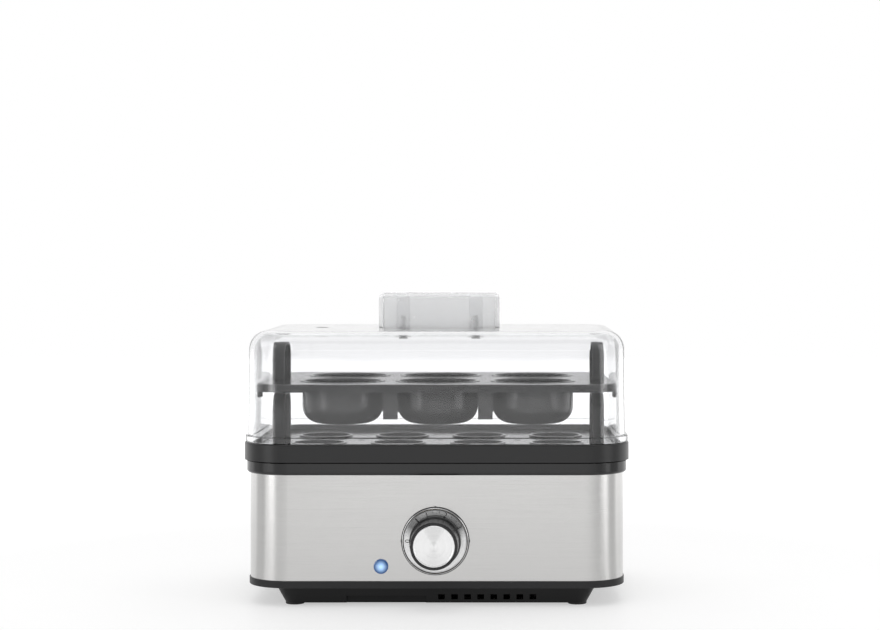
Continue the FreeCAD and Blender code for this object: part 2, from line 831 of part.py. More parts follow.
def heating_pan():
    body = new_body("heating_pan")
    flange = opening.grown(-s.fit_play)
    outside = throat.grown(-s.pan_play)
    inside = outside.grown(-s.pan_thickness)
    slab(body, "flange", [flange], s.pan_thickness, pan_rim - s.pan_thickness)
    slab(body, "tub", [outside], pan_rim - pan_under - s.pan_thickness, pan_under)
    slab(body, "water_space", [inside], s.pan_depth, pan_floor, cut=True)
    round_edges(body, "inner_round", s.pan_bottom_round - s.pan_thickness,
                along_outline(inside, pan_floor))
    round_edges(body, "outer_round", s.pan_bottom_round, along_outline(outside, pan_under))


def pan_seal():
    body = new_body("pan_seal")
    slab(body, "ring", [opening.grown(-s.fit_play), throat], s.seal_thickness, ledge)


def heat_spreader():
    body = new_body("heat_spreader")
    slab(body, "plate", [spreader], s.spreader_thickness, spreader_under)


def heating_element():
    body = new_body("heating_element")
    path = new_sketch(body, "run", z=element_level)
    draw_rounded(path, element)
    section = new_sketch(body, "section", y=-element.depth / 2, z=element_level,
                         plane="YZ_Plane")
    circle = Part.Circle(vector(ZERO, ZERO), FreeCAD.Vector(0, 0, 1), s.element_radius.number)
    section.addGeometry(circle, False)
    section.addConstraint(Sketcher.Constraint("Coincident", 0, 3, -1, 1))
    constrain(section, s.element_radius, "Radius", 0)
    tube = body.newObject("PartDesign::AdditivePipe", "tube")
    tube.Profile = section
    tube.Spine = (path, [])
    box(body, "end_gap", s.element_end_gap, 4 * s.element_radius, 4 * s.element_radius,
        ZERO, element.depth / 2, element_level - 2 * s.element_radius, cut=True)


def terminal_places():
    y = element.depth / 2
    return [(side * (s.element_end_gap / 2 + s.element_radius), y) for side in SIDES]


def element_terminals():
    body = new_body("element_terminals")
    under = element_level - s.element_radius
    rods(body, "beads", s.bead_insulator_radius, s.bead_insulator_length, terminal_places(),
         under - s.bead_insulator_length)
    rods(body, "pins", s.terminal_radius, s.terminal_length, terminal_places(),
         under - s.terminal_length)


def dry_cutout():
    body = new_body("dry_cutout")
    x = s.cutout_place_x
    rod(body, "can", s.cutout_radius, s.cutout_height, x, ZERO,
        spreader_under - s.cutout_height)
    blade_y = (s.clip_width / 2 + s.cutout_radius) / 2
    boxes(body, "blades", s.blade_width, s.clip_thickness, s.blade_length,
          [(x, side * blade_y) for side in SIDES],
          spreader_under - s.cutout_height - s.blade_length)


def strap_clip(label, radius_x, height, x):
    """A bent strip over a round thing, with a foot flat on the spreader at each end."""
    body = new_body(label)
    reach = radius_x + s.fit_play
    thick = s.clip_thickness
    top = spreader_under
    low = top - height - s.fit_play
    points = [
        (-(reach + thick + s.clip_foot), top), (-(reach + thick + s.clip_foot), top - thick),
        (-(reach + thick), top - thick), (-(reach + thick), low - thick),
        (reach + thick, low - thick), (reach + thick, top - thick),
        (reach + thick + s.clip_foot, top - thick), (reach + thick + s.clip_foot, top),
        (reach, top), (reach, low), (-reach, low), (-reach, top),
    ]
    sketch = new_sketch(body, "strip_profile", y=s.clip_width / 2, x=x, plane="XZ_Plane")
    draw_polygon(sketch, points)
    extrude(body, "strip", sketch, s.clip_width)


def thermal_fuse():
    body = new_body("thermal_fuse")
    level = spreader_under - s.fuse_radius
    rod(body, "can", s.fuse_radius, s.fuse_length, s.fuse_place_x, s.fuse_length / 2, level,
        FORWARD)
    lead = 2 * s.fuse_length
    rod(body, "lead", FUSE_WIRE_SHARE * s.fuse_radius, lead, s.fuse_place_x, lead / 2, level, FORWARD)


def clamp_bars():
    body = new_body("clamp_bars")
    thick = s.bar_thickness
    top = sleeve_top - s.spigot_height
    reach = throat.depth / 2 + s.bar_reach
    points = [
        (-reach, top), (-reach, bar_level), (reach, bar_level), (reach, top),
        (reach - s.bar_foot, top), (reach - s.bar_foot, top - thick),
        (reach - thick, top - thick), (reach - thick, bar_level + thick),
        (thick - reach, bar_level + thick), (thick - reach, top - thick),
        (s.bar_foot - reach, top - thick), (s.bar_foot - reach, top),
    ]
    for side in SIDES:
        sketch = new_sketch(body, f"bar_profile_{side + 1}", plane="YZ_Plane",
                            x=side * bar_x - s.bar_width / 2)
        draw_polygon(sketch, points)
        extrude(body, f"bar_{side + 1}", sketch, s.bar_width)
    rods(body, "stud_holes", s.stud_radius + s.fit_play, thick, studs(), bar_level, cut=True)


def pan_studs():
    body = new_body("pan_studs")
    bottom = bar_level - s.nut_height - s.stud_tail
    rods(body, "studs", s.stud_radius, pan_under - bottom, studs(), bottom)


def stud_nuts():
    body = new_body("stud_nuts")
    level = bar_level - s.nut_height
    for number, (x, y) in enumerate(studs()):
        hexagon(body, f"nut_{number}", s.nut_radius, s.nut_height, x, y, level)
    rods(body, "threads", s.stud_radius + s.shaft_play, s.nut_height, studs(), level,
         cut=True)


def heat_shield():
    body = new_body("heat_shield")
    level = bar_level + s.bar_thickness
    sheet_outline = Outline(2 * (bar_x + s.shield_margin), throat.depth - 2 * s.shield_inset,
                            s.shield_corner)
    window_shift = element.depth / 2 - s.shield_window_inset
    slab(body, "sheet", [sheet_outline], s.shield_thickness, level)
    for side in (0, 1):
        box(body, f"window_{side}", s.shield_window_width, s.shield_window_depth,
            s.shield_thickness, ZERO, side * window_shift, level, cut=True)
    rods(body, "stud_holes", s.stud_radius + s.fit_play, s.shield_thickness, studs(), level,
         cut=True)


# The dial, the knob and their switch

def lug_places():
    """Where the bezel's lugs pass the sleeve: both sides and above the dial."""
    reach = s.bezel_radius - s.bezel_width / 2
    return [(reach, s.dial_level), (-reach, s.dial_level), (ZERO, s.dial_level + reach)]


def dial_bezel():
    body = new_body("dial_bezel")
    outer = s.bezel_radius
    inner = outer - s.bezel_width
    proud = front - s.bezel_proud
    turned(body, "ring", [
        (inner, front), (outer, front), (outer, proud + s.bezel_width / 2),
        (outer - s.bezel_width / 4, proud), (inner + s.bezel_width / 2, proud),
        (inner, proud + s.bezel_width / 2),
    ], ZERO, s.dial_level)
    for number, (x, z) in enumerate(lug_places()):
        rod(body, f"lug_{number}", s.bezel_lug_radius, s.bezel_lug_length, x,
            front + s.bezel_lug_length, z, FORWARD)


def dial_plate():
    body = new_body("dial_plate")
    rod(body, "disc", s.bezel_radius - s.bezel_width - s.shaft_play, s.dial_thickness, ZERO,
        front, s.dial_level, FORWARD)
    rod(body, "bush_hole", s.bush_radius + s.fit_play, s.dial_thickness + s.overrun, ZERO,
        front + s.overrun / 2, s.dial_level, FORWARD, cut=True)


def rotary_switch():
    body = new_body("rotary_switch")
    face = front + s.steel_thickness
    box(body, "housing", s.switch_width, s.switch_depth, s.switch_height, ZERO,
        face + s.switch_depth / 2, s.dial_level - s.switch_height / 2)
    rod(body, "bush", s.bush_radius, s.bush_length, ZERO, face, s.dial_level, FORWARD)
    rod(body, "bore", s.shaft_radius + s.shaft_play, s.bush_length + s.shaft_inside, ZERO,
        face + s.shaft_inside, s.dial_level, FORWARD, cut=True)
    for side in SIDES:
        box(body, f"blade_{side + 1}", s.blade_width, s.blade_length, s.clip_thickness,
            side * s.switch_width / 4, face + s.switch_depth + s.blade_length / 2,
            s.dial_level)


def switch_nut():
    body = new_body("switch_nut")
    start = front - s.dial_thickness
    hexagon(body, "nut", s.switch_nut_radius, s.switch_nut_height, ZERO, start, s.dial_level,
            FORWARD)
    rod(body, "thread", s.bush_radius + s.shaft_play, s.switch_nut_height + s.overrun, ZERO,
        start + s.overrun / 2, s.dial_level, FORWARD, cut=True)


def switch_shaft():
    body = new_body("switch_shaft")
    start = front + s.steel_thickness + s.shaft_inside - s.rest_gap
    length = s.shaft_inside - s.rest_gap + s.steel_thickness + s.shaft_reach
    rod(body, "shaft", s.shaft_radius, length, ZERO, start, s.dial_level, FORWARD)
    flat_length = s.shaft_reach - s.bush_length - s.rest_gap
    box(body, "flat", 2 * s.shaft_radius, flat_length + s.overrun, s.shaft_radius, ZERO,
        start - length + flat_length / 2 - s.overrun / 2,
        s.dial_level + s.shaft_radius - s.shaft_flat, cut=True)


def knob_body():
    body = new_body("knob_body")
    rear = front - s.bezel_proud - s.knob_gap
    nose = front - s.knob_proud
    wall = s.knob_wall
    skirt = s.knob_skirt_radius
    shoulder_y = rear - s.knob_skirt_height
    hub_rear = front - s.bush_length - s.rest_gap
    crown = nose + s.cap_thickness - s.cap_proud + wall
    seat = nose + s.cap_thickness - s.cap_proud
    turned(body, "shell", [
        (skirt - wall, rear), (skirt, rear), (skirt, shoulder_y),
        (s.knob_waist_radius, shoulder_y), (s.knob_front_radius, nose),
        (s.cap_radius + s.shaft_play, nose), (s.cap_radius + s.shaft_play, seat), (ZERO, seat),
        (ZERO, hub_rear), (s.knob_hub_radius, hub_rear), (s.knob_hub_radius, crown),
        (s.knob_front_radius - wall, crown), (s.knob_waist_radius - wall, shoulder_y),
        (skirt - wall, shoulder_y),
    ], ZERO, s.dial_level)
    bore_end = front - s.shaft_reach - s.rest_gap
    bore = hub_rear - bore_end
    round_bore = new_sketch(body, "bore_outline", y=bore_end, z=s.dial_level,
                            plane="XZ_Plane")
    radius = s.shaft_radius + s.shaft_play / 2
    flat = s.shaft_radius - s.shaft_flat + s.shaft_play / 2
    draw_flatted(round_bore, radius, flat)
    extrude(body, "bore", round_bore, bore, cut=True)
    box(body, "pointer_slot", pointer_depth() + s.overrun, s.pointer_length,
        s.pointer_width + 2 * s.shaft_play, pointer_x() - s.overrun / 2,
        shoulder_y - s.pointer_length / 2,
        s.dial_level - s.pointer_width / 2 - s.shaft_play, cut=True)
    round_edges(body, "nose_round", s.knob_nose_round,
                circles_facing(s.knob_front_radius, nose))
    round_edges(body, "skirt_round", s.edge_round, circles_facing(skirt, shoulder_y))


def pointer_depth():
    """How thick the pointer is: it is let into the knob's side and stands flush."""
    return s.knob_waist_radius - s.knob_front_radius + s.pointer_sink


def pointer_x():
    return pointer_depth() / 2 - s.knob_waist_radius


def draw_flatted(sketch, radius, flat):
    """A circle with a flat across its top, for a D-shaped shaft."""
    ratio = flat.number / radius.number
    angle = math.asin(ratio)
    circle = Part.Circle(FreeCAD.Vector(), FreeCAD.Vector(0, 0, 1), radius.number)
    sketch.addGeometry(Part.ArcOfCircle(circle, math.pi - angle, 2 * math.pi + angle), False)
    half = radius.number * math.cos(angle)
    start = FreeCAD.Vector(half, flat.number, 0)
    end = FreeCAD.Vector(-half, flat.number, 0)
    sketch.addGeometry(Part.LineSegment(start, end), False)
    sketch.addConstraint(Sketcher.Constraint("Coincident", 0, 2, 1, 1))
    sketch.addConstraint(Sketcher.Constraint("Coincident", 1, 2, 0, 1))
    sketch.addConstraint(Sketcher.Constraint("Coincident", 0, 3, -1, 1))
    sketch.addConstraint(Sketcher.Constraint("Horizontal", 1))
    constrain(sketch, radius, "Radius", 0)
    constrain(sketch, flat, "DistanceY", -1, 1, 1, 1)


def knob_cap():
    body = new_body("knob_cap")
    nose = front - s.knob_proud - s.cap_proud
    rod(body, "disc", s.cap_radius, s.cap_thickness, ZERO, nose + s.cap_thickness,
        s.dial_level, FORWARD)
    round_edges(body, "cap_edge", s.cap_proud / 2, circles_facing(s.cap_radius, nose))


def knob_pointer():
    body = new_body("knob_pointer")
    shoulder_y = front - s.bezel_proud - s.knob_gap - s.knob_skirt_height
    box(body, "inlay", pointer_depth(), s.pointer_length, s.pointer_width, pointer_x(),
        shoulder_y - s.pointer_length / 2, s.dial_level - s.pointer_width / 2)


# The indicator and the inlet

def indicator_lens():
    body = new_body("indicator_lens")
    inner = s.lens_barrel_radius - s.lens_wall
    face = front - s.lens_flange
    end = front + s.lens_barrel_length
    crown = [(across * s.lens_radius, face - rise * s.lens_dome)
             for across, rise in LENS_CROWN_SHARES]
    turned(body, "lens", [
        (ZERO, face - s.lens_dome), *crown, (s.lens_radius, face),
        (s.lens_radius, front), (s.lens_barrel_radius, front), (s.lens_barrel_radius, end),
        (inner, end), (inner, front), (ZERO, front),
    ], s.indicator_place_x, s.indicator_level)


def indicator_lamp():
    body = new_body("indicator_lamp")
    rod(body, "bulb", s.lamp_radius, s.lamp_length, s.indicator_place_x,
        front + s.lens_barrel_length, s.indicator_level, FORWARD)


def indicator_board():
    body = new_body("indicator_board")
    box(body, "board", s.board_width, s.board_thickness, s.board_height,
        s.indicator_place_x, front + s.lens_barrel_length + s.board_thickness / 2,
        s.indicator_level - s.board_height / 2)


def cord_gland():
    body = new_body("cord_gland")
    proud = back + s.gland_proud
    rod(body, "barrel", s.gland_radius, s.gland_proud + s.gland_inside, inlet_x,
        proud, s.inlet_level, FORWARD)
    rod(body, "outer_flange", s.gland_flange_radius, s.gland_flange, inlet_x,
        back + s.gland_flange, s.inlet_level, FORWARD)
    rod(body, "inner_flange", s.gland_flange_radius, s.gland_flange, inlet_x,
        back - s.steel_thickness, s.inlet_level, FORWARD)
    rod(body, "cord_bore", s.cord_bore, s.gland_proud + s.gland_inside + 2 * s.overrun,
        inlet_x, proud + s.overrun, s.inlet_level, FORWARD, cut=True)
    round_edges(body, "tail_round", s.edge_round, circles_facing(s.gland_radius, proud))


def block_base():
    return s.foot_height + s.moulding_wall


def terminal_block():
    body = new_body("terminal_block")
    box(body, "block", s.block_width, s.block_depth, s.block_height, block_x, block_y,
        block_base())
    rods(body, "screw_wells", s.screw_radius + s.fit_play, s.block_height / 2,
         block_screws(), block_base() + s.block_height / 2, cut=True)


def block_screws():
    return [(block_x + side * s.block_width / 4, block_y) for side in SIDES]


def terminal_screws():
    body = new_body("terminal_screws")
    rods(body, "screws", s.screw_radius, s.block_height / 2 - s.fit_play, block_screws(),
         block_base() + s.block_height / 2)


# The leads between the inlet, the switch and the heater

def run_length(points, index):
    return points[index].distanceToPoint(points[index + 1])


def bent_path(points):
    """Straight runs joined by tangent arcs, as large as the two runs allow."""
    edges = []
    start = points[0]
    for index in range(1, len(points) - 1):
        before = (points[index] - points[index - 1]).normalize()
        after = (points[index + 1] - points[index]).normalize()
        trim = ARC_SHARE * min(run_length(points, index - 1), run_length(points, index))
        arc_start = points[index] - before * trim
        arc_end = points[index] + after * trim
        half_turn = before.getAngle(after) / 2
        radius = trim / math.tan(half_turn)
        inward = (after - before).normalize()
        sagitta = radius / math.cos(half_turn) - radius
        edges.append(Part.LineSegment(start, arc_start).toShape())
        edges.append(Part.Arc(arc_start, points[index] + inward * sagitta, arc_end).toShape())
        start = arc_end
    edges.append(Part.LineSegment(start, points[-1]).toShape())
    return Part.Wire(edges)


def lead(label, route):
    """A sleeved lead along a route of points in sizes."""
    points = [FreeCAD.Vector(*[as_size(place).number for place in point]) for point in route]
    path = bent_path(points)
    section = Part.makeCircle(s.lead_radius.number, points[0], points[1] - points[0])
    shell = Part.BRepOffsetAPI.MakePipeShell(path)
    shell.add(Part.Wire([section]))
    shell.build()
    shell.makeSolid()
    feature = doc.addObject("Part::Feature", label)
    feature.Label = label
    feature.Shape = shell.shape()
    bind(feature, "Placement.Base.y", case_middle)
    BODIES.append(feature)


def lead_from_block():
    """From the terminal block up to the switch."""
    x, y = block_screws()[0]
    start_y = y - s.block_depth / 2
    level = block_base() + s.block_height / 4
    end_x, end_y, end_z = switch_tab(1)
    return [
        (x, start_y, level), (x, start_y - s.lead_stub, level),
        ((x + end_x) / 2, (start_y + end_y) / 2, level + LEAD_RISE_SHARE * (end_z - level)),
        (end_x, end_y + s.lead_stub, end_z), (end_x, end_y, end_z),
    ]


def lead_to_element():
    """From the switch down under the heat shield and up to the element's left pin."""
    x, y, z = switch_tab(-1)
    end_x, end_y = terminal_places()[0]
    end_z = element_level - s.element_radius - s.terminal_length
    low = end_z - s.lead_drop
    return [
        (x, y, z), (x, y + s.lead_stub, z),
        ((x + end_x) / 2, (y + end_y) / 2, low), (end_x, end_y - s.lead_stub, low),
        (end_x, end_y, low + LEAD_RISE_SHARE * s.lead_stub), (end_x, end_y, end_z),
    ]


def lead_back():
    """From the terminal block to the element's right pin."""
    x, y = block_screws()[1]
    start_y = y - s.block_depth / 2
    level = block_base() + s.block_height / 4
    end_x, end_y = terminal_places()[1]
    end_z = element_level - s.element_radius - s.terminal_length
    low = end_z - s.lead_drop
    return [
        (x, start_y, level), (x, start_y - s.lead_stub, level),
        ((x + end_x) / 2, start_y - LEAD_SLACK_SHARE * s.lead_stub, (level + low) / 2),
        (end_x, end_y - s.lead_stub, low), (end_x, end_y, low + LEAD_RISE_SHARE * s.lead_stub),
        (end_x, end_y, end_z),
    ]


def switch_tab(side):
    """The end of one of the switch's two tabs."""
    face = front + s.steel_thickness
    return (side * s.switch_width / 4, face + s.switch_depth + s.blade_length,
            s.dial_level + s.clip_thickness / 2)


# The egg tray

def egg_tray():
    body = new_body("egg_tray")
    outside = case.grown(s.tray_overhang)
    inside = outside.grown(-s.tray_wall)
    under = tray_under
    slab(body, "tray", [outside], tray_top - tray_bottom, tray_bottom)
    slab(body, "underside", [inside], under - tray_bottom, tray_bottom, cut=True)
    slab(body, "basin", [inside], s.tray_rim, tray_deck, cut=True)
    round_edges(body, "rim_round", s.tray_round, along_outline(outside, tray_top))
    round_edges(body, "rim_inner_round", s.edge_round, along_outline(inside, tray_top))
    rods(body, "seat_openings", seat_barrel + s.shaft_play, s.tray_floor,
         two_rows(EGG_COLUMNS, egg_pitch_x, s.egg_pitch_y), under, cut=True)
    rods(body, "steam_holes", s.steam_hole_radius, s.tray_floor, steam_holes(), under,
         cut=True)
    strap_slots(body, under, s.tray_floor)


def egg_seats():
    body = new_body("egg_seats")
    profile = new_sketch(body, "seat_profile", first_place(EGG_COLUMNS, egg_pitch_x),
                         first_place(len(SIDES), s.egg_pitch_y), tray_deck, "XZ_Plane")
    draw_polygon(profile, [
        (s.seat_hole_radius, -s.seat_depth), (s.seat_radius, -s.tray_floor),
        (s.seat_radius, s.seat_lip_height), (s.seat_lip_radius, s.seat_lip_height),
        (s.seat_lip_radius, ZERO), (seat_barrel, ZERO), (seat_barrel, -s.tray_floor),
        (s.seat_hole_radius + s.seat_wall, -s.seat_depth),
    ])
    seat = turn(body, "seat", profile)
    grid(body, "seats", seat, EGG_COLUMNS, egg_pitch_x, len(SIDES), s.egg_pitch_y)


def steam_holes():
    rows = (-s.egg_pitch_y, ZERO, s.egg_pitch_y)
    columns = (-egg_pitch_x, ZERO, egg_pitch_x)
    return [(x, y) for y in rows for x in columns]


def strap_slots(body, low, thickness):
    """Slots that let the legs of both straps through a floor."""
    inset = s.strap_span / 2 - s.strap_thickness / 2
    boxes(body, "strap_slots", s.strap_width + 2 * s.fit_play,
          s.strap_thickness + 2 * s.fit_play, thickness, spread(strap_x, inset),
          low, cut=True)


def strap(label, side, low, high):
    """A closed strap from low to high that goes through a tray's floor."""
    body = new_body(label)
    start = side * strap_x - s.strap_width / 2
    half = s.strap_span / 2
    thick = s.strap_thickness
    sketch = new_sketch(body, "strap_outline", x=start, plane="YZ_Plane")
    draw_polygon(sketch, [(-half, low), (half, low), (half, high), (-half, high)])
    draw_polygon(sketch, [(thick - half, low + thick), (half - thick, low + thick),
                          (half - thick, high - thick), (thick - half, high - thick)])
    extrude(body, "strap", sketch, s.strap_width)
    bends = (
        ("top_bends", half, high, s.strap_corner),
        ("grip_bends", half - thick, high - thick, s.strap_corner - thick),
        ("foot_bends", half, low, s.strap_foot_corner),
    )
    for name, y, z, radius in bends:
        round_edges(body, name, radius, edges_across(y, z))
    round_edges(body, "soft_edges", s.strap_round,
                lambda edge: edge.BoundBox.XLength < TOLERANCE)


def edges_across(y, z):
    """A rule for straight edges along X at plus or minus y, at a height."""
    def chosen(edge):
        place = middle_of(edge)
        right = abs(abs(place.y) - y.number) < TOLERANCE and flat_at(edge, z)
        return right and edge.BoundBox.YLength < TOLERANCE
    return chosen


def egg_tray_handles():
    strap("egg_tray_handle_left", -1, egg_strap_foot, egg_strap_top)
    strap("egg_tray_handle_right", 1, egg_strap_foot, egg_strap_top)


# The poaching tray

def poaching_tray():
    body = new_body("poaching_tray")
    deck_under = poach_top - s.poach_wall
    slab(body, "plate", [poach_plate], s.poach_skirt, poach_bottom)
    slab(body, "underside", [poach_plate.grown(-s.poach_wall)], s.poach_skirt - s.poach_wall,
         poach_bottom, cut=True)
    round_edges(body, "plate_round", s.poach_round, along_outline(poach_plate, poach_top))
    web_bottom = cup_bottom + s.web_rise
    columns = row_places(CUP_COLUMNS, cup_pitch_x, first_place(CUP_COLUMNS, cup_pitch_x))
    boxes(body, "long_webs", (CUP_COLUMNS - 1) * cup_pitch_x, s.web_thickness,
          deck_under - web_bottom, [(ZERO, side * cup_pitch_y / 2) for side in SIDES],
          web_bottom)
    boxes(body, "short_webs", s.web_thickness, cup_pitch_y, deck_under - web_bottom,
          [(x, ZERO) for x in columns], web_bottom)
    rods(body, "cup_openings", cup_radius + s.shaft_play, poach_top - web_bottom,
         two_rows(CUP_COLUMNS, cup_pitch_x, cup_pitch_y), web_bottom, cut=True)
    lug_x = poach_plate.width / 2 - s.poach_wall / 2
    lug_y = poach_plate.depth / 2 - poach_plate.corner - s.lug_length / 2 - s.lug_inset
    boxes(body, "lugs", s.poach_wall, s.lug_length, s.lug_drop, spread(lug_x, lug_y),
          poach_bottom - s.lug_drop)
    strap_slots(body, deck_under, s.poach_wall)


def poaching_cups():
    body = new_body("poaching_cups")
    start_x = first_place(CUP_COLUMNS, cup_pitch_x)
    start_y = first_place(len(SIDES), cup_pitch_y)
    cup_lip_top = poach_top + s.cup_lip_height
    inner = cup_radius - s.cup_wall
    cup = bowl(body, "cup", cup_radius, poach_top - cup_bottom, s.cup_bottom_round, start_x,
               start_y, cup_bottom)
    grid(body, "cups", cup, CUP_COLUMNS, cup_pitch_x, len(SIDES), cup_pitch_y)
    rods(body, "lips", cup_radius + s.cup_lip_overhang, s.cup_lip_height,
         two_rows(CUP_COLUMNS, cup_pitch_x, cup_pitch_y), poach_top)
    well = bowl(body, "well", inner, cup_lip_top - cup_bottom - s.cup_wall,
                s.cup_bottom_round - s.cup_wall, start_x, start_y, cup_bottom + s.cup_wall,
                cut=True)
    grid(body, "wells", well, CUP_COLUMNS, cup_pitch_x, len(SIDES), cup_pitch_y)
    round_edges(body, "well_rim", s.cup_rim_round, circles_at(inner, cup_lip_top))


def poaching_tray_handles():
    high = poach_top + s.poach_strap_rise
    strap("poaching_tray_handle_left", -1, poach_foot, high)
    strap("poaching_tray_handle_right", 1, poach_foot, high)


# The lid

def lid_shell():
    body = new_body("lid_shell")
    wall = s.lid_wall
    outside = case.grown(s.lid_overhang)
    flange = case.grown(s.lid_flange_overhang)
    tray_mouth = case.grown(s.tray_overhang - s.tray_wall)
    skirt = tray_mouth.grown(-s.rest_gap)
    slab(body, "dome", [outside], s.lid_height, lid_bottom, draft=-s.lid_draft)
    slab(body, "flange", [flange], s.lid_flange_height, lid_bottom)
    slab(body, "skirt", [skirt], lid_bottom - lid_foot, lid_foot)
    slab(body, "skirt_hollow", [skirt.grown(-wall)], lid_bottom - lid_foot, lid_foot,
         cut=True)
    room = new_sketch(body, "room_outline", z=lid_bottom)
    draw_rounded(room, skirt.grown(-wall))
    cavity = extrude(body, "room", room, s.lid_height - wall, cut=True, draft=-s.lid_draft)
    cavity.Reversed = True
    round_edges(body, "room_round", s.lid_round - wall,
                lambda edge: flat_at(edge, lid_top - wall))
    round_edges(body, "dome_round", s.lid_round, lambda edge: flat_at(edge, lid_top))
    round_edges(body, "flange_round", s.edge_round,
                along_outline(flange, lid_bottom + s.lid_flange_height))
    vent_x = s.steam_vent_inset - case.width / 2
    rod(body, "steam_vent", s.steam_vent_radius, wall + s.overrun, vent_x, ZERO,
        lid_top - wall - s.overrun / 2, cut=True)
    for side in SIDES:
        rod(body, f"grip_hole_{side + 1}", s.screw_radius + s.fit_play, wall + s.overrun,
            side * s.grip_screw_x, ZERO, lid_top - wall - s.overrun / 2, cut=True)


def lid_handle():
    body = new_body("lid_handle")
    grip = Outline(s.grip_width, s.grip_depth, s.grip_corner)
    room = s.grip_height - s.grip_wall
    slab(body, "grip", [grip], s.grip_height, lid_top)
    slab(body, "hollow", [grip.grown(-s.grip_wall)], room, lid_top, cut=True)
    screws = [(side * s.grip_screw_x, ZERO) for side in SIDES]
    rods(body, "bosses", s.grip_boss_radius, room, screws, lid_top)
    round_edges(body, "grip_round", s.grip_round,
                along_outline(grip, lid_top + s.grip_height))
    rods(body, "screw_bores", s.screw_radius + s.shaft_play, s.grip_screw_depth, screws,
         lid_top, cut=True)


def lid_washers():
    body = new_body("lid_washers")
    top = lid_top - s.lid_wall
    for side in SIDES:
        rod(body, f"washer_{side + 1}", s.washer_radius, s.washer_thickness,
            side * s.grip_screw_x, ZERO, top - s.washer_thickness)
        rod(body, f"washer_hole_{side + 1}", s.screw_radius + s.fit_play,
            s.washer_thickness + s.overrun, side * s.grip_screw_x, ZERO,
            top - s.washer_thickness - s.overrun / 2, cut=True)


def lid_screws():
    body = new_body("lid_screws")
    head_top = lid_top - s.lid_wall - s.washer_thickness
    for side in SIDES:
        x = side * s.grip_screw_x
        rod(body, f"head_{side + 1}", s.screw_head_radius, s.screw_head_height, x, ZERO,
            head_top - s.screw_head_height)
        rod(body, f"shank_{side + 1}", s.screw_radius,
            lid_top + s.grip_screw_depth - s.overrun - head_top, x, ZERO, head_top)


feet()
bottom_cover()
steel_sleeve()
top_collar()
cover_screws()
heating_pan()
pan_seal()
heat_spreader()
heating_element()
element_terminals()
dry_cutout()
strap_clip("cutout_clip", s.cutout_radius, s.cutout_height, s.cutout_place_x)
thermal_fuse()
strap_clip("fuse_clip", s.fuse_radius, 2 * s.fuse_radius, s.fuse_place_x)
clamp_bars()
pan_studs()
stud_nuts()
heat_shield()
dial_bezel()
dial_plate()
rotary_switch()
switch_nut()
switch_shaft()
knob_body()
knob_cap()
knob_pointer()
indicator_lens()
indicator_lamp()
indicator_board()
cord_gland()
terminal_block()
terminal_screws()
lead("lead_from_block", lead_from_block())
lead("lead_to_element", lead_to_element())
lead("lead_back", lead_back())
egg_tray()
egg_seats()
egg_tray_handles()
poaching_tray()
poaching_cups()
poaching_tray_handles()
lid_shell()
lid_handle()
lid_washers()
lid_screws()

doc.recompute()
for item in doc.Objects:
    if "Invalid" in item.State or "Error" in item.State:
        raise RuntimeError(f"{item.Label} did not compute")
for body in BODIES:
    if body.Shape.isNull() or not body.Shape.isValid():
        raise RuntimeError(f"{body.Label} has no valid shape")

os.makedirs("parts", exist_ok=True)
for body in BODIES:
    body.Shape.exportStep(f"parts/{body.Label}.step")
print(len(BODIES), "sub-parts written")
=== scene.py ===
# %% [markdown]
# # A countertop egg cooker
#
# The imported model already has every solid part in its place. This notebook dresses it:
# it sets up the camera and the light, gives each part its finish, and rebuilds the pieces
# whose roundness or fine detail the plain solids lack: the knob, the dial's bezel, the cord
# gland and the screws.

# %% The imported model
import math

import bmesh
import bpy
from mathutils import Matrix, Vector


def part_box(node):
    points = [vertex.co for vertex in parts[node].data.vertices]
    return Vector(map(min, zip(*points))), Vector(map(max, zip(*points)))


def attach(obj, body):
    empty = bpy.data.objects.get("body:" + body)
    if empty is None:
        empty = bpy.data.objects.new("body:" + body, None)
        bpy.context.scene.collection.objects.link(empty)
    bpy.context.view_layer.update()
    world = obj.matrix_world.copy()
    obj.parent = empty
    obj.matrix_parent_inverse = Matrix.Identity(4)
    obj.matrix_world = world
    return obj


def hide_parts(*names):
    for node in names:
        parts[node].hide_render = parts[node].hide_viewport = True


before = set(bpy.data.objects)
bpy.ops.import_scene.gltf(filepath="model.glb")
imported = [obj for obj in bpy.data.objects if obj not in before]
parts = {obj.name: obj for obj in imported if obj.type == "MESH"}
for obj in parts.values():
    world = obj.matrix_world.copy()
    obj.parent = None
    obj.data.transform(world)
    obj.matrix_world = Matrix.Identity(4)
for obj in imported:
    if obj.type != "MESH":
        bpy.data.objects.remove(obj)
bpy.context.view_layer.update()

# %% [markdown]
# ## Camera
#
# The photograph looks straight along +Y, level, with a long lens. Its upright and level
# lines stay parallel, and the lines that run away from the eye meet right of and above
# the middle of the picture. A camera that is shifted, not turned, gives just that.

# %% Camera
PHOTO_WIDTH = 880
PHOTO_HEIGHT = 630
SENSOR_WIDTH = 36.0
FOCAL_LENGTH_PIXELS = 2059.5
MEETING_POINT = (512.0, 254.0)
EYE = (0.048, -1.355, 0.221)

camera = bpy.data.objects.new("camera", bpy.data.cameras.new("camera"))
camera.data.sensor_width = SENSOR_WIDTH
camera.data.lens = FOCAL_LENGTH_PIXELS * SENSOR_WIDTH / PHOTO_WIDTH
camera.data.shift_x = (PHOTO_WIDTH / 2 - MEETING_POINT[0]) / PHOTO_WIDTH
camera.data.shift_y = (MEETING_POINT[1] - PHOTO_HEIGHT / 2) / PHOTO_WIDTH
camera.location = EYE
camera.rotation_euler = (math.radians(90), 0, 0)
bpy.context.collection.objects.link(camera)
bpy.context.scene.camera = camera
bpy.context.scene.view_settings.view_transform = "Standard"
print("lens", round(camera.data.lens, 2), "mm")

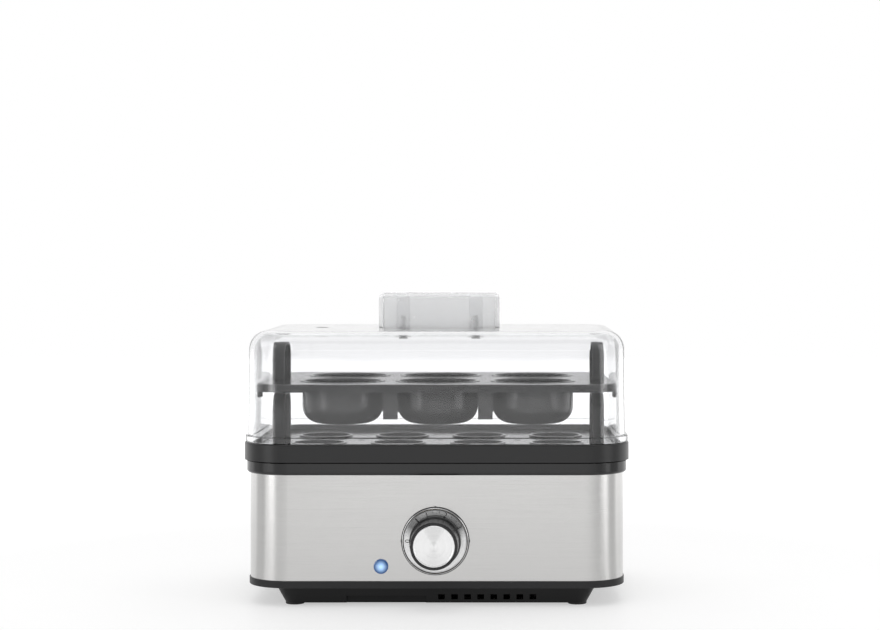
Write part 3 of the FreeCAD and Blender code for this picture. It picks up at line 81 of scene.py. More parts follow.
# %% [markdown]
# ## Writing finishes as sums
#
# A finish is a small net of shader nodes. Nets are easier to read as arithmetic, so a
# Wire stands for one socket, and adding or multiplying wires adds the Math nodes.

# %% Wires
class Wire:
    """One output socket, which sums can be written with."""

    def __init__(self, finish, socket):
        self.finish = finish
        self.socket = socket

    def joined(self, operation, first, second):
        settings = {"operation": operation}
        return self.finish.node("ShaderNodeMath", settings, {0: first, 1: second})

    def __add__(self, other):
        return self.joined("ADD", self, other)

    def __sub__(self, other):
        return self.joined("SUBTRACT", self, other)

    def __rsub__(self, other):
        return self.joined("SUBTRACT", other, self)

    def __mul__(self, other):
        return self.joined("MULTIPLY", self, other)

    def __truediv__(self, other):
        return self.joined("DIVIDE", self, other)

    def __rtruediv__(self, other):
        return self.joined("DIVIDE", other, self)

    def __pow__(self, other):
        return self.joined("POWER", self, other)

    def __rpow__(self, other):
        return self.joined("POWER", other, self)

    __radd__ = __add__
    __rmul__ = __mul__

    def least(self, other):
        return self.joined("MINIMUM", self, other)

    def most(self, other):
        return self.joined("MAXIMUM", self, other)

    def part(self, name):
        """One axis of a vector: X, Y or Z."""
        return self.finish.node("ShaderNodeSeparateXYZ", {}, {0: self}, name)

    def spread(self, low, high):
        """0 below low, 1 above high, and even in between."""
        limits = {"From Min": low, "From Max": high}
        return self.finish.node("ShaderNodeMapRange", {}, {"Value": self, **limits})


# %% [markdown]
# A Finish holds the net of one material, or of the world. All nodes come from its one
# method that first sets the node up and then joins its inputs, because some settings
# change which inputs a node has. The methods below it are the nodes that finishes share.

# %% Finishes
class Finish:
    """A net of nodes, in a material or in the world."""

    def __init__(self, name, tree=None):
        if tree is None:
            self.material = bpy.data.materials.new(name)
            self.material.use_nodes = True
            tree = self.material.node_tree
            self.shader = tree.nodes["Principled BSDF"]
        self.tree = tree

    def node(self, kind, settings, inputs, output=0):
        made = self.tree.nodes.new(kind)
        for name, value in settings.items():
            if name == "stops":
                ramp = made.color_ramp.elements
                for place, _ in value[1:-1]:
                    ramp.new(place)
                for stop, (place, colour) in zip(ramp, value):
                    stop.position = place
                    stop.color = colour
            else:
                setattr(made, name, value)
        for name, value in inputs.items():
            self.join(made.inputs[name], value)
        return Wire(self, made.outputs[output])

    def join(self, socket, value):
        if isinstance(value, Wire):
            self.tree.links.new(value.socket, socket)
        else:
            socket.default_value = value

    def set(self, **values):
        for name, value in values.items():
            self.join(self.shader.inputs[name.replace("_", " ")], value)
        return self

    def place(self):
        """Where a point of the surface lies, in metres."""
        return self.node("ShaderNodeTexCoord", {}, {}, "Object")

    def ray(self, kind):
        """1 for rays of one kind, such as "Is Camera Ray", and 0 for all others."""
        return self.node("ShaderNodeLightPath", {}, {}, kind)

    def noise(self, scale, detail=2.0, stretch=(1, 1, 1)):
        """Soft random values about 0.5, with lengths in metres."""
        at = self.node("ShaderNodeMapping", {}, {"Vector": self.place(), "Scale": stretch})
        inputs = {"Vector": at, "Scale": scale, "Detail": detail}
        return self.node("ShaderNodeTexNoise", {}, inputs)

    def mixed(self, amount, first, second):
        """A colour between two, by an amount from 0 to 1."""
        inputs = {0: amount, 6: first, 7: second}
        return self.node("ShaderNodeMix", {"data_type": "RGBA"}, inputs, 2)

    def bump(self, height, depth):
        """A normal from a height of 0 to 1 that stands depth metres high."""
        normal = self.node("ShaderNodeBump", {}, {"Height": height, "Distance": depth})
        return self.set(Normal=normal)


# %% [markdown]
# A part comes with a plain material of its own, so painting it empties that list first.

# %% Painting
def grey(level):
    return (level, level, level, 1.0)


def paint(finish, *names):
    """Give parts a finish."""
    for name in names:
        materials = parts[name].data.materials
        materials.clear()
        materials.append(finish.material)


# %% [markdown]
# ## Studio
#
# The appliance stands on a white table in a white studio. The floor keeps the soft shadow
# near the feet and fades to plain white further out, so no horizon shows. Metal mirrors the
# table more than the room, because the eye looks down on it. So in reflections the table
# carries two white and four dark cards that fan out from the sleeve's front corners, and
# they draw the pale and dark upright bands on the rounded steel there.

# %% Floor
FLOOR_SIZE = 6.0
FLOOR_WHITE = 0.9
FLOOR_GLOW = 1.35
SHADOW_REACH = (0.35, 1.1)
SHADOW_SHARE = 0.62
CORNER_X = 0.097
CORNER_Y = -0.043
IN_FRONT = (0.5, 0.15)
REFLECTED_CARDS = [
    (-1, 0.6), (-0.985, 0.5), (-0.955, 0.65), (-0.93, 1.15), (-0.68, 1.1), (-0.58, 0.72),
    (-0.24, 0.76), (-0.1, 1.0), (0.06, 1.0), (0.3, 0.92), (0.55, 0.75), (0.8, 0.42),
    (0.87, 0.5), (0.9, 1.4), (0.955, 1.4), (0.975, 0.5), (1, 0.5)]

bpy.ops.mesh.primitive_plane_add(size=FLOOR_SIZE)
floor = bpy.context.object
floor.name = "floor"
table_top = Finish("white_table")
table_top.set(Base_Color=grey(FLOOR_WHITE), Roughness=0.5, Specular_IOR_Level=0.2)
at = table_top.place()
away = (at.part("X") ** 2 + at.part("Y") ** 2) ** 0.5
fade = 1 - (1 - away.spread(*SHADOW_REACH)) * SHADOW_SHARE
mirror_ray = table_top.ray("Is Glossy Ray")
seen = table_top.ray("Is Camera Ray").most(mirror_ray).most(table_top.ray("Is Transmission Ray"))
across = at.part("X") - at.part("X").least(CORNER_X).most(-CORNER_X)
along = at.part("Y") - CORNER_Y
from_corner = (across ** 2 + along ** 2) ** 0.5
stops = [((sine + 1) / 2, grey(level)) for sine, level in REFLECTED_CARDS]
cards = table_top.node("ShaderNodeValToRGB", {"stops": stops},
                       {"Fac": across / from_corner * 0.5 + 0.5})
in_front = (along / from_corner).spread(*IN_FRONT)
shine = table_top.mixed(in_front * mirror_ray, grey(1.0), cards)
glow = table_top.node("ShaderNodeEmission", {}, {"Color": shine, "Strength": FLOOR_GLOW})
lit = Wire(table_top, table_top.shader.outputs["BSDF"])
sheet = table_top.node("ShaderNodeMixShader", {}, {0: fade * seen, 1: lit, 2: glow})
table_top.join(table_top.tree.nodes["Material Output"].inputs["Surface"], sheet)
floor.data.materials.append(table_top.material)
print("table", FLOOR_SIZE, "m wide, with", len(REFLECTED_CARDS), "stops of reflected cards")

# %% [markdown]
# The world lights the object from all round. It is brightest behind the object, darker at
# the sides like black flags beside a product table, and a little brighter overhead. The
# camera, and what it sees through the lid, get plain white instead.

# %% World
ROOM_LEVEL = 0.62
BEHIND_LEVEL = 0.36
OVERHEAD_LEVEL = 0.1
FLAG_DEPTH = 0.3
BEHIND_REACH = (-0.3, 0.7)
FLAG_REACH = (0.2, 0.6)

world = bpy.data.worlds.new("studio")
bpy.context.scene.world = world
world.use_nodes = True
sky = Finish("studio", world.node_tree)
way = sky.node("ShaderNodeTexCoord", {}, {}, "Generated")
behind = way.part("Y").spread(*BEHIND_REACH)
sideways = (way.part("X") ** 2) ** 0.5
above = way.part("Z").most(0.0)
flag = sideways.spread(*FLAG_REACH) * (1 - behind)
level = ROOM_LEVEL + BEHIND_LEVEL * behind + OVERHEAD_LEVEL * above - FLAG_DEPTH * flag
plain = sky.ray("Is Camera Ray").most(sky.ray("Is Transmission Ray"))
background = sky.tree.nodes["Background"]
sky.join(background.inputs["Color"], grey(1.0))
sky.join(background.inputs["Strength"], plain + (1 - plain) * level)
print("world of", len(sky.tree.nodes), "nodes")

# %% [markdown]
# Two tall soft boxes stand to the left and right in front, and a wide one hangs above.
# Wide lamps give soft shadows and broad highlights, where small ones would leave hard spots.

# %% Lamps
def soft_box(name, place, aim, width, height, brightness):
    """A rectangular lamp of a given brightness, whatever its size."""
    lamp = bpy.data.lights.new(name, "AREA")
    lamp.shape = "RECTANGLE"
    lamp.size = width
    lamp.size_y = height
    lamp.energy = brightness * math.pi * width * height
    held = bpy.data.objects.new(name, lamp)
    held.location = place
    held.rotation_euler = (Vector(aim) - Vector(place)).to_track_quat("-Z", "Y").to_euler()
    bpy.context.collection.objects.link(held)


OBJECT_MIDDLE = (0, 0, 0.1)
BOX_DISTANCE = 1.3
BOX_HEIGHT = 0.35
BOX_SIZE = (0.36, 1.0)
BOX_BRIGHTNESS = 2.0
BOX_ANGLES = {"left": -52, "right": 59}
OVERHEAD_PLACE = (0.1, -0.2, 1.5)
OVERHEAD_SIZE = (1.2, 0.8)
OVERHEAD_BRIGHTNESS = 0.8

for side_name, degrees in BOX_ANGLES.items():
    angle = math.radians(degrees)
    place = (BOX_DISTANCE * math.sin(angle), -BOX_DISTANCE * math.cos(angle), BOX_HEIGHT)
    soft_box("soft_box_" + side_name, place, OBJECT_MIDDLE, *BOX_SIZE, BOX_BRIGHTNESS)
soft_box("soft_box_above", OVERHEAD_PLACE, OBJECT_MIDDLE, *OVERHEAD_SIZE, OVERHEAD_BRIGHTNESS)
print(len(BOX_ANGLES), "soft boxes in front and one above")

# %% [markdown]
# ## Metal finishes
#
# The sleeve is stainless sheet, brushed along its length before it was bent. The scratches
# are long and thin, so they are noise stretched along X and Y and packed tightly along Z.
# They change the colour a little, the roughness more, and as a faint bump they pull every
# reflection upright, which is what makes brushed steel look brushed.

# %% Brushed steel
steel = Finish("brushed_steel")
scratches = steel.noise(1.0, 3.0, (14, 14, 3200))
bands = steel.noise(1.0, 2.0, (5, 5, 420))
columns = steel.noise(1.0, 1.0, (11, 11, 2))
clouds = steel.noise(9.0, 2.0)
grain = 0.55 * scratches + 0.15 * bands + 0.3 * columns
steel.set(
    Base_Color=steel.mixed(grain, (0.545, 0.54, 0.535, 1), (0.67, 0.665, 0.655, 1)),
    Metallic=1.0,
    Roughness=0.14 + 0.1 * grain + 0.06 * clouds,
)
steel.bump(grain, 0.00005)
paint(steel, "steel_sleeve")
print("brushed steel:", len(steel.tree.nodes), "nodes")

# %% [markdown]
# Fittings inside the base are plain sheet, plated or cast metal. They share one recipe: a
# metal colour, a speckle or grain of a given size, and a roughness that varies with it.

# %% Plain metals
def metal(name, colour, roughness, grain_size, depth, stretch=(1, 1, 1)):
    made = Finish(name)
    pattern = made.noise(1 / grain_size, 3.0, stretch)
    darker = (*[channel * 0.82 for channel in colour[:3]], 1.0)
    made.set(
        Base_Color=made.mixed(pattern, darker, colour),
        Metallic=1.0,
        Roughness=roughness - 0.06 + 0.12 * pattern,
    )
    return made.bump(pattern, depth)


zinc = metal("zinc_plate", (0.72, 0.73, 0.74, 1), 0.34, 0.0012, 0.00001)
mill_aluminium = metal("mill_aluminium", (0.8, 0.8, 0.81, 1), 0.42, 0.003, 0.00002, (1, 9, 1))
sheath = metal("element_sheath", (0.34, 0.32, 0.3, 1), 0.5, 0.0015, 0.00003)
brass = metal("brass", (0.78, 0.58, 0.28, 1), 0.3, 0.0008, 0.00001)
paint(zinc, "cutout_clip", "thermal_fuse", "fuse_clip", "clamp_bars", "pan_studs",
      "stud_nuts")
paint(mill_aluminium, "heat_spreader", "heat_shield")
paint(sheath, "heating_element")
paint(brass, "switch_nut", "terminal_screws", "switch_shaft")
plain_metals = (zinc, mill_aluminium, sheath, brass)
print("plain metals:", ", ".join(made.material.name for made in plain_metals))

# %% [markdown]
# ## Plastic and rubber finishes
#
# Moulded plastic is never one flat colour. Light and dark smears drift over it, its shine
# varies with them, and a fine grain comes from the mould. One recipe makes all of that, and
# a gloss moulding gets a faint slow waviness on top.

# %% A recipe for plastic
def plastic(name, colour, roughness, grain_size, depth, wave=0.0):
    made = Finish(name)
    pattern = made.noise(1 / grain_size, 3.0)
    smears = made.noise(22.0, 3.0)
    lighter = (*[min(1.0, channel * 1.35 + 0.002) for channel in colour[:3]], 1.0)
    made.set(
        Base_Color=made.mixed(smears, colour, lighter),
        Roughness=roughness + 0.08 * smears + 0.05 * pattern,
    )
    height = pattern
    if wave:
        height = pattern + wave * made.noise(60.0, 1.0)
    return made.bump(height, depth)


# %% [markdown]
# The collar is a gloss moulding, almost black. The straps are satin. The poaching tray has
# a glossy non-stick coat with tiny specks, and the water pan a duller one. A pure black
# would hide their shape, so each colour stays a little above it.

# %% Blacks
gloss_black = plastic("gloss_black", (0.007, 0.007, 0.0075, 1), 0.1, 0.0006, 0.000004, wave=6.0)
satin_black = plastic("satin_black", (0.011, 0.011, 0.0115, 1), 0.34, 0.0005, 0.00001)
coated_black = plastic("coated_black", (0.006, 0.006, 0.0065, 1), 0.12, 0.0009, 0.000004)
pan_coat = plastic("pan_coat", (0.016, 0.016, 0.017, 1), 0.34, 0.0007, 0.00002)
rubber = plastic("foot_rubber", (0.02, 0.02, 0.02, 1), 0.62, 0.0007, 0.00003)
knob_black = plastic("knob_black", (0.006, 0.006, 0.0065, 1), 0.14, 0.0006, 0.000004)
paint(gloss_black, "top_collar")
paint(satin_black, "egg_tray_handle_left", "egg_tray_handle_right",
      "poaching_tray_handle_left", "poaching_tray_handle_right")
paint(coated_black, "poaching_tray", "poaching_cups")
paint(pan_coat, "heating_pan")
paint(rubber, "feet")
blacks = (gloss_black, satin_black, coated_black, pan_coat, rubber, knob_black)
print("blacks:", ", ".join(made.material.name for made in blacks))

# %% [markdown]
# Two blacks change over one piece. The egg tray's deck is polished and its sides are satin,
# so its roughness follows how far the surface looks up. The bottom cover is painted darker
# below its thin lip, a painted shade on the plinth under it, and the lip, which meets the
# steel, keeps a paler black. Both could be cut into two pieces with a finish each, but a
# value that changes over the surface keeps each piece whole.

# %% Tray and cover
LOOKS_UP = (0.5, 0.9)
LIP_START = (0.0114, 0.0118)
PLINTH_SHADE_COLOUR = (0.004, 0.004, 0.0042, 1)
LIP_COLOUR = (0.03, 0.03, 0.031, 1)

tray_black = plastic("tray_black", (0.009, 0.009, 0.0095, 1), 0.17, 0.0006, 0.000004)
normal = tray_black.node("ShaderNodeNewGeometry", {}, {}, "Normal")
upward = normal.part("Z").spread(*LOOKS_UP)
tray_black.set(Roughness=0.3 - 0.2 * upward + 0.06 * tray_black.noise(22.0, 3.0))
cover_black = plastic("cover_black", PLINTH_SHADE_COLOUR, 0.34, 0.0005, 0.00002)
# Painted shade: below the lip the cover's colour is darker, for the shaded plinth under it.
lip_share = cover_black.place().part("Z").spread(*LIP_START)
cover_black.set(Specular_IOR_Level=0.22,
                Base_Color=cover_black.mixed(lip_share, PLINTH_SHADE_COLOUR, LIP_COLOUR))
paint(tray_black, "egg_tray", "egg_seats")
paint(cover_black, "bottom_cover")
print("the cover's lip starts", round(LIP_START[0] * 1000, 1), "mm above the table")

# %% [markdown]
# The pieces inside the base have the colours that such fittings usually have: a red silicone
# seal, pale ceramic, cream resin, woven glass sleeves on the leads and a green board. They
# differ in colour and grain only, so the one recipe makes them all.

# %% Fittings inside the base
silicone = plastic("seal_silicone", (0.5, 0.12, 0.07, 1), 0.5, 0.001, 0.00001)
ceramic = plastic("insulator", (0.84, 0.81, 0.73, 1), 0.55, 0.0008, 0.00001)
switch_resin = plastic("switch_resin", (0.66, 0.62, 0.52, 1), 0.48, 0.0008, 0.00001)
sleeving = plastic("lead_sleeving", (0.8, 0.77, 0.7, 1), 0.7, 0.0012, 0.00005)
board_lacquer = plastic("board_lacquer", (0.02, 0.16, 0.06, 1), 0.3, 0.0015, 0.00001)
nylon = plastic("white_nylon", (0.9, 0.9, 0.89, 1), 0.4, 0.001, 0.00001)
pointer_white = plastic("pointer_white", (0.86, 0.86, 0.86, 1), 0.3, 0.001, 0.000005)
paint(silicone, "pan_seal")
paint(ceramic, "element_terminals", "dry_cutout", "terminal_block")
paint(switch_resin, "rotary_switch")
paint(sleeving, "lead_from_block", "lead_to_element", "lead_back")
paint(board_lacquer, "indicator_board")
paint(pointer_white, "knob_pointer")
print(len(bpy.data.materials), "finishes so far")

# %% [markdown]
# The lid is clear plastic, 2 mm thick with real inner and outer faces, so the shader can
# bend light as the real wall does. Its grip is milky: what lies behind shows through, but
# blurred by the rough faces.

# %% Clear and milky plastic
clear = Finish("clear_plastic")
clear.set(Base_Color=(0.935, 0.937, 0.945, 1), Roughness=0.02 + 0.05 * clear.noise(14.0, 3.0),
          IOR=1.49, Transmission_Weight=1.0)
clear.bump(clear.noise(38.0, 1.0), 0.00004)
paint(clear, "lid_shell")

milky = Finish("milky_plastic")
haze = milky.noise(160.0, 2.0)
milky.set(
    Base_Color=milky.mixed(haze, (0.96, 0.965, 0.975, 1), (1.0, 1.0, 1.0, 1)),
    Roughness=0.2 + 0.1 * haze,
    IOR=1.1,
    Transmission_Weight=0.75,
)
milky.bump(haze, 0.00001)
paint(milky, "lid_handle", "lid_washers")

lamp_glass = Finish("lamp_glass")
lamp_glass.set(Base_Color=(0.8, 0.9, 1.0, 1), Roughness=0.1 + 0.1 * lamp_glass.noise(400.0),
               Transmission_Weight=0.8, Emission_Color=(0.4, 0.7, 1.0, 1),
               Emission_Strength=1.5)
paint(lamp_glass, "indicator_lamp")
print("the lid, its grip and the lamp let light through")

# %% [markdown]
# ## Turned pieces
#
# The knob, its metal face, the bezel, the gland and the screws are all round. A lathe makes
# such a piece by turning one outline about a line, and so do the helpers here. Sharp
# corners never catch the light as real ones do, so each corner of the outline is first
# worked into a small arc. Outlines are in mm: how far out, how far along, and how rounded.

# %% Rounded outlines
MM = 0.001
ON_AXIS = 1e-7


def rounded(corners, closed=False, steps=5):
    """Points along a chain of corners (across, along, rounding), in metres."""
    points = []
    for index, (across, along, rounding) in enumerate(corners):
        here = Vector((across, along))
        last = index in (0, len(corners) - 1) and not closed
        if last or not rounding:
            points.append(here * MM)
            continue
        before = (Vector(corners[index - 1][:2]) - here).normalized()
        after = (Vector(corners[(index + 1) % len(corners)][:2]) - here).normalized()
        half = before.angle(after) / 2
        middle = here + (before + after).normalized() * rounding / math.sin(half)
        first = here + before * rounding / math.tan(half) - middle
        end = here + after * rounding / math.tan(half) - middle
        for step in range(steps + 1):
            spoke = first.slerp(end, step / steps).normalized() * rounding
            points.append((middle + spoke) * MM)
    return points


# %% [markdown]
# A new piece rides on a body, so that it moves with the joints. Where it stands for a node
# of the solids, that node is hidden. Smooth shading weighted by the size of the faces keeps
# large flat faces flat beside their small arcs.

# %% New pieces
def new_piece(name, mesh, finish, body, node=None):
    """Turn a bmesh into a smooth object that rides on a body and may replace a node."""
    bmesh.ops.recalc_face_normals(mesh, faces=mesh.faces)
    data = bpy.data.meshes.new(name)
    mesh.to_mesh(data)
    mesh.free()
    data.shade_smooth()
    piece = bpy.data.objects.new(name, data)
    bpy.context.collection.objects.link(piece)
    piece.modifiers.new("even_shading", "WEIGHTED_NORMAL")
    piece.data.materials.append(finish.material)
    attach(piece, body)
    if node:
        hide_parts(node)


# %% [markdown]
# The lathe makes one ring of points for each point of the outline and joins each ring to
# the next. A point on the axis stays one point, and an outline that starts away from the
# axis is joined back to its start, which leaves a bore.

# %% A lathe
def turn(mesh, outline, foot, direction, steps):
    """Add an outline of (radius, reach), turned about a line from foot, to a mesh."""
    tilt = Vector((0, 0, 1)).rotation_difference(Vector(direction))
    rings = []
    for radius, reach in outline:
        if radius < ON_AXIS:
            ring = [mesh.verts.new(tilt @ Vector((0, 0, reach)) + Vector(foot))] * steps
        else:
            angles = [2 * math.pi * step / steps for step in range(steps)]
            spots = [Vector((radius * math.cos(a), radius * math.sin(a), reach)) for a in angles]
            ring = [mesh.verts.new(tilt @ spot + Vector(foot)) for spot in spots]
        rings.append(ring)
    closed = outline[0][0] > ON_AXIS
    pairs = zip(rings, rings[1:] + rings[:1]) if closed else zip(rings, rings[1:])
    for ring, following in pairs:
        for step in range(steps):
            after = (step + 1) % steps
            corners = [ring[step], ring[after], following[after], following[step]]
            mesh.faces.new(list(dict.fromkeys(corners)))


# %% [markdown]
# ## Knob
#
# The knob is a gloss moulding: a wide skirt at the dial, a body that narrows a little
# towards the front, and a lip round a spun aluminium face. The outline takes its length and
# the skirt's radius from the solid, and its corners are softened.

# %% Knob body
FORWARD = (0, -1, 0)
FACE_RADIUS = 12.85
FACE_PLAY = 0.15
FACE_SEAT = 0.75
NOSE_RADIUS = 14.7
NECK_RADIUS = 15.25
SKIRT_HEIGHT = 3.9
HOLLOW_RADIUS = 13.4
NOSE_DEPTH = 4
SMOOTH_STEPS = 128

low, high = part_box("knob_body")
knob_foot = Vector(((low[0] + high[0]) / 2, high[1], (low[2] + high[2]) / 2))
knob_reach = (high[1] - low[1]) / MM
skirt_radius = (high[0] - low[0]) / 2 / MM
seat = knob_reach - FACE_SEAT
pocket = FACE_RADIUS + FACE_PLAY
hollow_end = knob_reach - NOSE_DEPTH
knob_outline = [
    (0, seat, 0), (pocket, seat, 0), (pocket, knob_reach, 0.2), (NOSE_RADIUS, knob_reach, 0.9),
    (NECK_RADIUS, SKIRT_HEIGHT + 0.4, 0.25), (NECK_RADIUS + 0.2, SKIRT_HEIGHT + 0.3, 0.1),
    (NECK_RADIUS + 0.25, SKIRT_HEIGHT, 0.1), (skirt_radius, SKIRT_HEIGHT, 0.45),
    (skirt_radius, 0, 0.3), (HOLLOW_RADIUS + 0.4, 0, 0.2), (HOLLOW_RADIUS, hollow_end, 0.5),
    (0, hollow_end, 0)]
knob_mesh = bmesh.new()
turn(knob_mesh, rounded(knob_outline), knob_foot, FORWARD, SMOOTH_STEPS)
new_piece("knob_shell", knob_mesh, knob_black, "knob", "knob_body")
print("knob", round(knob_reach, 2), "mm long and", round(2 * skirt_radius, 2), "mm across")

# %% [markdown]
# Turning on a lathe leaves rings on a metal face, too fine to see one by one. Noise that
# depends on the radius alone makes such rings, and a bump leans the surface in and out
# across them. Real rings smear each reflection into pale and dark fans, which run out from
# the middle. Here the fans are a painted reflection in the colour, which follows the sine of
# the angle, from -1 below to 1 above, so both halves match.

# %% Spun metal
FINE_RINGS = 5200.0
BROAD_RINGS = 700.0


def spun_metal(name, roughness, depth, painted_fans):
    """Metal turned about the knob's axis, with painted reflection fans of (sine of the angle,
    level).
    """
    made = Finish(name)
    at = made.place()
    across = at.part("X") - knob_foot.x
    up = at.part("Z") - knob_foot.z
    radius = (across ** 2 + up ** 2) ** 0.5
    rings = made.node("ShaderNodeTexNoise", {"noise_dimensions": "1D"},
                      {"W": radius, "Scale": FINE_RINGS, "Detail": 2.0})
    broad = made.node("ShaderNodeTexNoise", {"noise_dimensions": "1D"},
                      {"W": radius, "Scale": BROAD_RINGS, "Detail": 2.0})
    # Painted reflection: pale and dark fans put into the colour by the angle about the axis.
    stops = [((sine + 1) / 2, grey(level)) for sine, level in painted_fans]
    painted_fan = made.node("ShaderNodeValToRGB", {"stops": stops}, {"Fac": up / radius * 0.5 + 0.5})
    made.set(Base_Color=made.mixed(0.24 * rings + 0.16 * broad, painted_fan, grey(0.3)), Metallic=1.0,
             Roughness=roughness + 0.08 * broad)
    return made.bump(rings, depth)


# %% [markdown]
# The face is a thin aluminium disc with a bevelled edge. Inside a narrow rim it is sunk by
# about a tenth of a millimetre. A plain disc with a bevel would lack that step, so the face
# is turned from an outline too.

# %% Knob face
FACE_EDGE = 0.28
RIM_INSET = 0.75
SINK_INSET = 0.95
FACE_SINK = 0.12
# Painted reflection on the knob's face: a little darker near the top, pale elsewhere.
FACE_PAINTED_FANS = [(-1, 0.92), (-0.93, 0.95), (-0.7, 1.0), (0.8, 1.0), (0.93, 0.86), (1, 0.84)]

spun = spun_metal("spun_aluminium", 0.16, 0.00003, FACE_PAINTED_FANS)
low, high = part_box("knob_cap")
cap_reach = (high[1] - low[1]) / MM
face_outline = [
    (0, 0, 0), (FACE_RADIUS, 0, 0), (FACE_RADIUS, cap_reach - FACE_EDGE, 0.06),
    (FACE_RADIUS - FACE_EDGE, cap_reach, 0.06), (FACE_RADIUS - RIM_INSET, cap_reach, 0.06),
    (FACE_RADIUS - SINK_INSET, cap_reach - FACE_SINK, 0.06), (0, cap_reach - FACE_SINK, 0)]
face_mesh = bmesh.new()
face_foot = (knob_foot.x, high[1], knob_foot.z)
turn(face_mesh, rounded(face_outline), face_foot, FORWARD, SMOOTH_STEPS)
new_piece("knob_face", face_mesh, spun, "knob", "knob_cap")
print("face", 2 * FACE_RADIUS, "mm across")

# %% [markdown]
# ## Dial
#
# The dial is a spun metal ring inside a chrome bezel, whose inner edge covers the ring's
# own. A thin dark ring under the bezel is a painted shadow: it stands for the shade at the
# bezel's edge and draws its outline on the steel.

# %% Dial ring and bezel
# Painted reflection on the dial ring: dark across its upper part, pale at the sides and below.
DIAL_PAINTED_FANS = [
    (-1, 0.9), (0.1, 0.92), (0.32, 0.6), (0.5, 0.2), (0.74, 0.26), (0.9, 0.42), (1, 0.5)]
BEZEL_OUTLINE = [
    (19.4, 0.86, 0), (19.4, 0, 0), (20.9, 0, 0), (20.9, 1.5, 0.5), (20.5, 2.2, 0.3),
    (20.2, 2.2, 0.25), (19.9, 1.0, 0.15), (19.25, 0.93, 0.03), (19.25, 0.86, 0)]
SHADOW_RING_OUTLINE = [(20.7, 0, 0), (21.4, 0, 0), (21.4, 0.7, 0.2), (20.7, 0.7, 0)]

dial_metal = spun_metal("dial_metal", 0.2, 0.00003, DIAL_PAINTED_FANS)
paint(dial_metal, "dial_plate")
dial_low, dial_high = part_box("dial_plate")
dial_foot = Vector((knob_foot.x, dial_high[1], knob_foot.z))
chrome = metal("bezel_chrome", (0.8, 0.8, 0.81, 1), 0.12, 0.004, 0.000004)
bezel_mesh = bmesh.new()
turn(bezel_mesh, rounded(BEZEL_OUTLINE), dial_foot, FORWARD, SMOOTH_STEPS)
new_piece("bezel_ring", bezel_mesh, chrome, "base", "dial_bezel")
# A painted shadow: a thin dark rubber ring under the bezel stands for the shade at its edge.
shadow_ring_mesh = bmesh.new()
turn(shadow_ring_mesh, rounded(SHADOW_RING_OUTLINE), dial_foot, FORWARD, SMOOTH_STEPS)
new_piece("bezel_shadow_ring", shadow_ring_mesh, rubber, "base")
print("dial", round((dial_high[0] - dial_low[0]) / MM, 1), "mm across")

# %% [markdown]
# The numbers and strokes are printed, so they are as thin as ink. They run clockwise from
# 0 at nine o'clock, where the knob's white pointer rests, and their tops point outward.
# A bold stroke marks where heating starts.

# %% Marks on the dial
ink = plastic("dial_ink", (0.02, 0.02, 0.021, 1), 0.45, 0.0004, 0.000004)
PRINT_LIFT = 0.04 * MM
MARK_RADIUS = 17.5
FIGURE_HEIGHT = 3.1 * MM
MARKS = {"0": 0, "1": 72, "2": 111, "3": 150}


def spot_on_dial(degrees, radius):
    """A place on the dial, clockwise from nine o'clock, with the radius in mm."""
    angle = math.radians(180 - degrees)
    return Vector((knob_foot.x + radius * MM * math.cos(angle), dial_low[1] - PRINT_LIFT,
                   knob_foot.z + radius * MM * math.sin(angle)))


for number, degrees in MARKS.items():
    text = bpy.data.curves.new("dial_number_" + number, "FONT")
    text.body = number
    text.size = FIGURE_HEIGHT
    text.align_x = "CENTER"
    text.align_y = "CENTER"
    text.extrude = PRINT_LIFT / 2
    written = bpy.data.objects.new("written_" + number, text)
    shape = bpy.data.meshes.new_from_object(written)
    spots = [[vertex.co[axis] for vertex in shape.vertices] for axis in (0, 1)]
    growth = FIGURE_HEIGHT / (max(spots[1]) - min(spots[1]))
    for vertex in shape.vertices:
        for axis in (0, 1):
            middle = (max(spots[axis]) + min(spots[axis])) / 2
            vertex.co[axis] = (vertex.co[axis] - middle) * growth
    figure = bpy.data.objects.new("dial_number_" + number, shape)
    bpy.data.objects.remove(written)
    figure.location = spot_on_dial(degrees, MARK_RADIUS)
    figure.rotation_euler = (math.radians(90), math.radians(degrees - 90), 0)
    figure.data.materials.append(ink.material)
    bpy.context.collection.objects.link(figure)
    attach(figure, "base")

print(len(MARKS), "numbers", round(FIGURE_HEIGHT / MM, 1), "mm high")

# %% [markdown]
# A stroke is a thin block that runs outward from the knob. Its size is given in mm: where
# it starts, where it stops, and half its width. Eight corners are enough for a block, so
# they are worked out one by one.

# %% Strokes on the dial
BOLD_STROKE = 48.5
BOLD_SIZE = (15.6, 18.9, 0.4)
THIN_STROKES = (85, 98, 124, 137)
THIN_SIZE = (17.6, 18.7, 0.15)

stroke_mesh = bmesh.new()
strokes = [(BOLD_STROKE, *BOLD_SIZE)] + [(degrees, *THIN_SIZE) for degrees in THIN_STROKES]
for degrees, start, stop, half_width in strokes:
    inner = spot_on_dial(degrees, start)
    outer = spot_on_dial(degrees, stop)
    aside = (outer - inner).cross(Vector((0, 1, 0))).normalized() * half_width * MM
    lift = Vector((0, PRINT_LIFT / 2, 0))
    front = [stroke_mesh.verts.new(p) for p in (inner - aside, outer - aside, outer + aside,
                                                inner + aside)]
    rear = [stroke_mesh.verts.new(corner.co + lift) for corner in front]
    stroke_mesh.faces.new(front)
    stroke_mesh.faces.new(rear[::-1])
    for corner in range(4):
        after = (corner + 1) % 4
        stroke_mesh.faces.new([front[corner], front[after], rear[after], rear[corner]])
new_piece("dial_strokes", stroke_mesh, ink, "base")
print(len(strokes), "strokes")

# %% [markdown]
# ## Indicator
#
# A blue lamp shines through a small domed lens. The light is strongest in the middle and
# weak at the rim, where the lens is thickest and only its own blue shows.

# %% Blue lens
LENS_RIM = (0.1, 0.85)

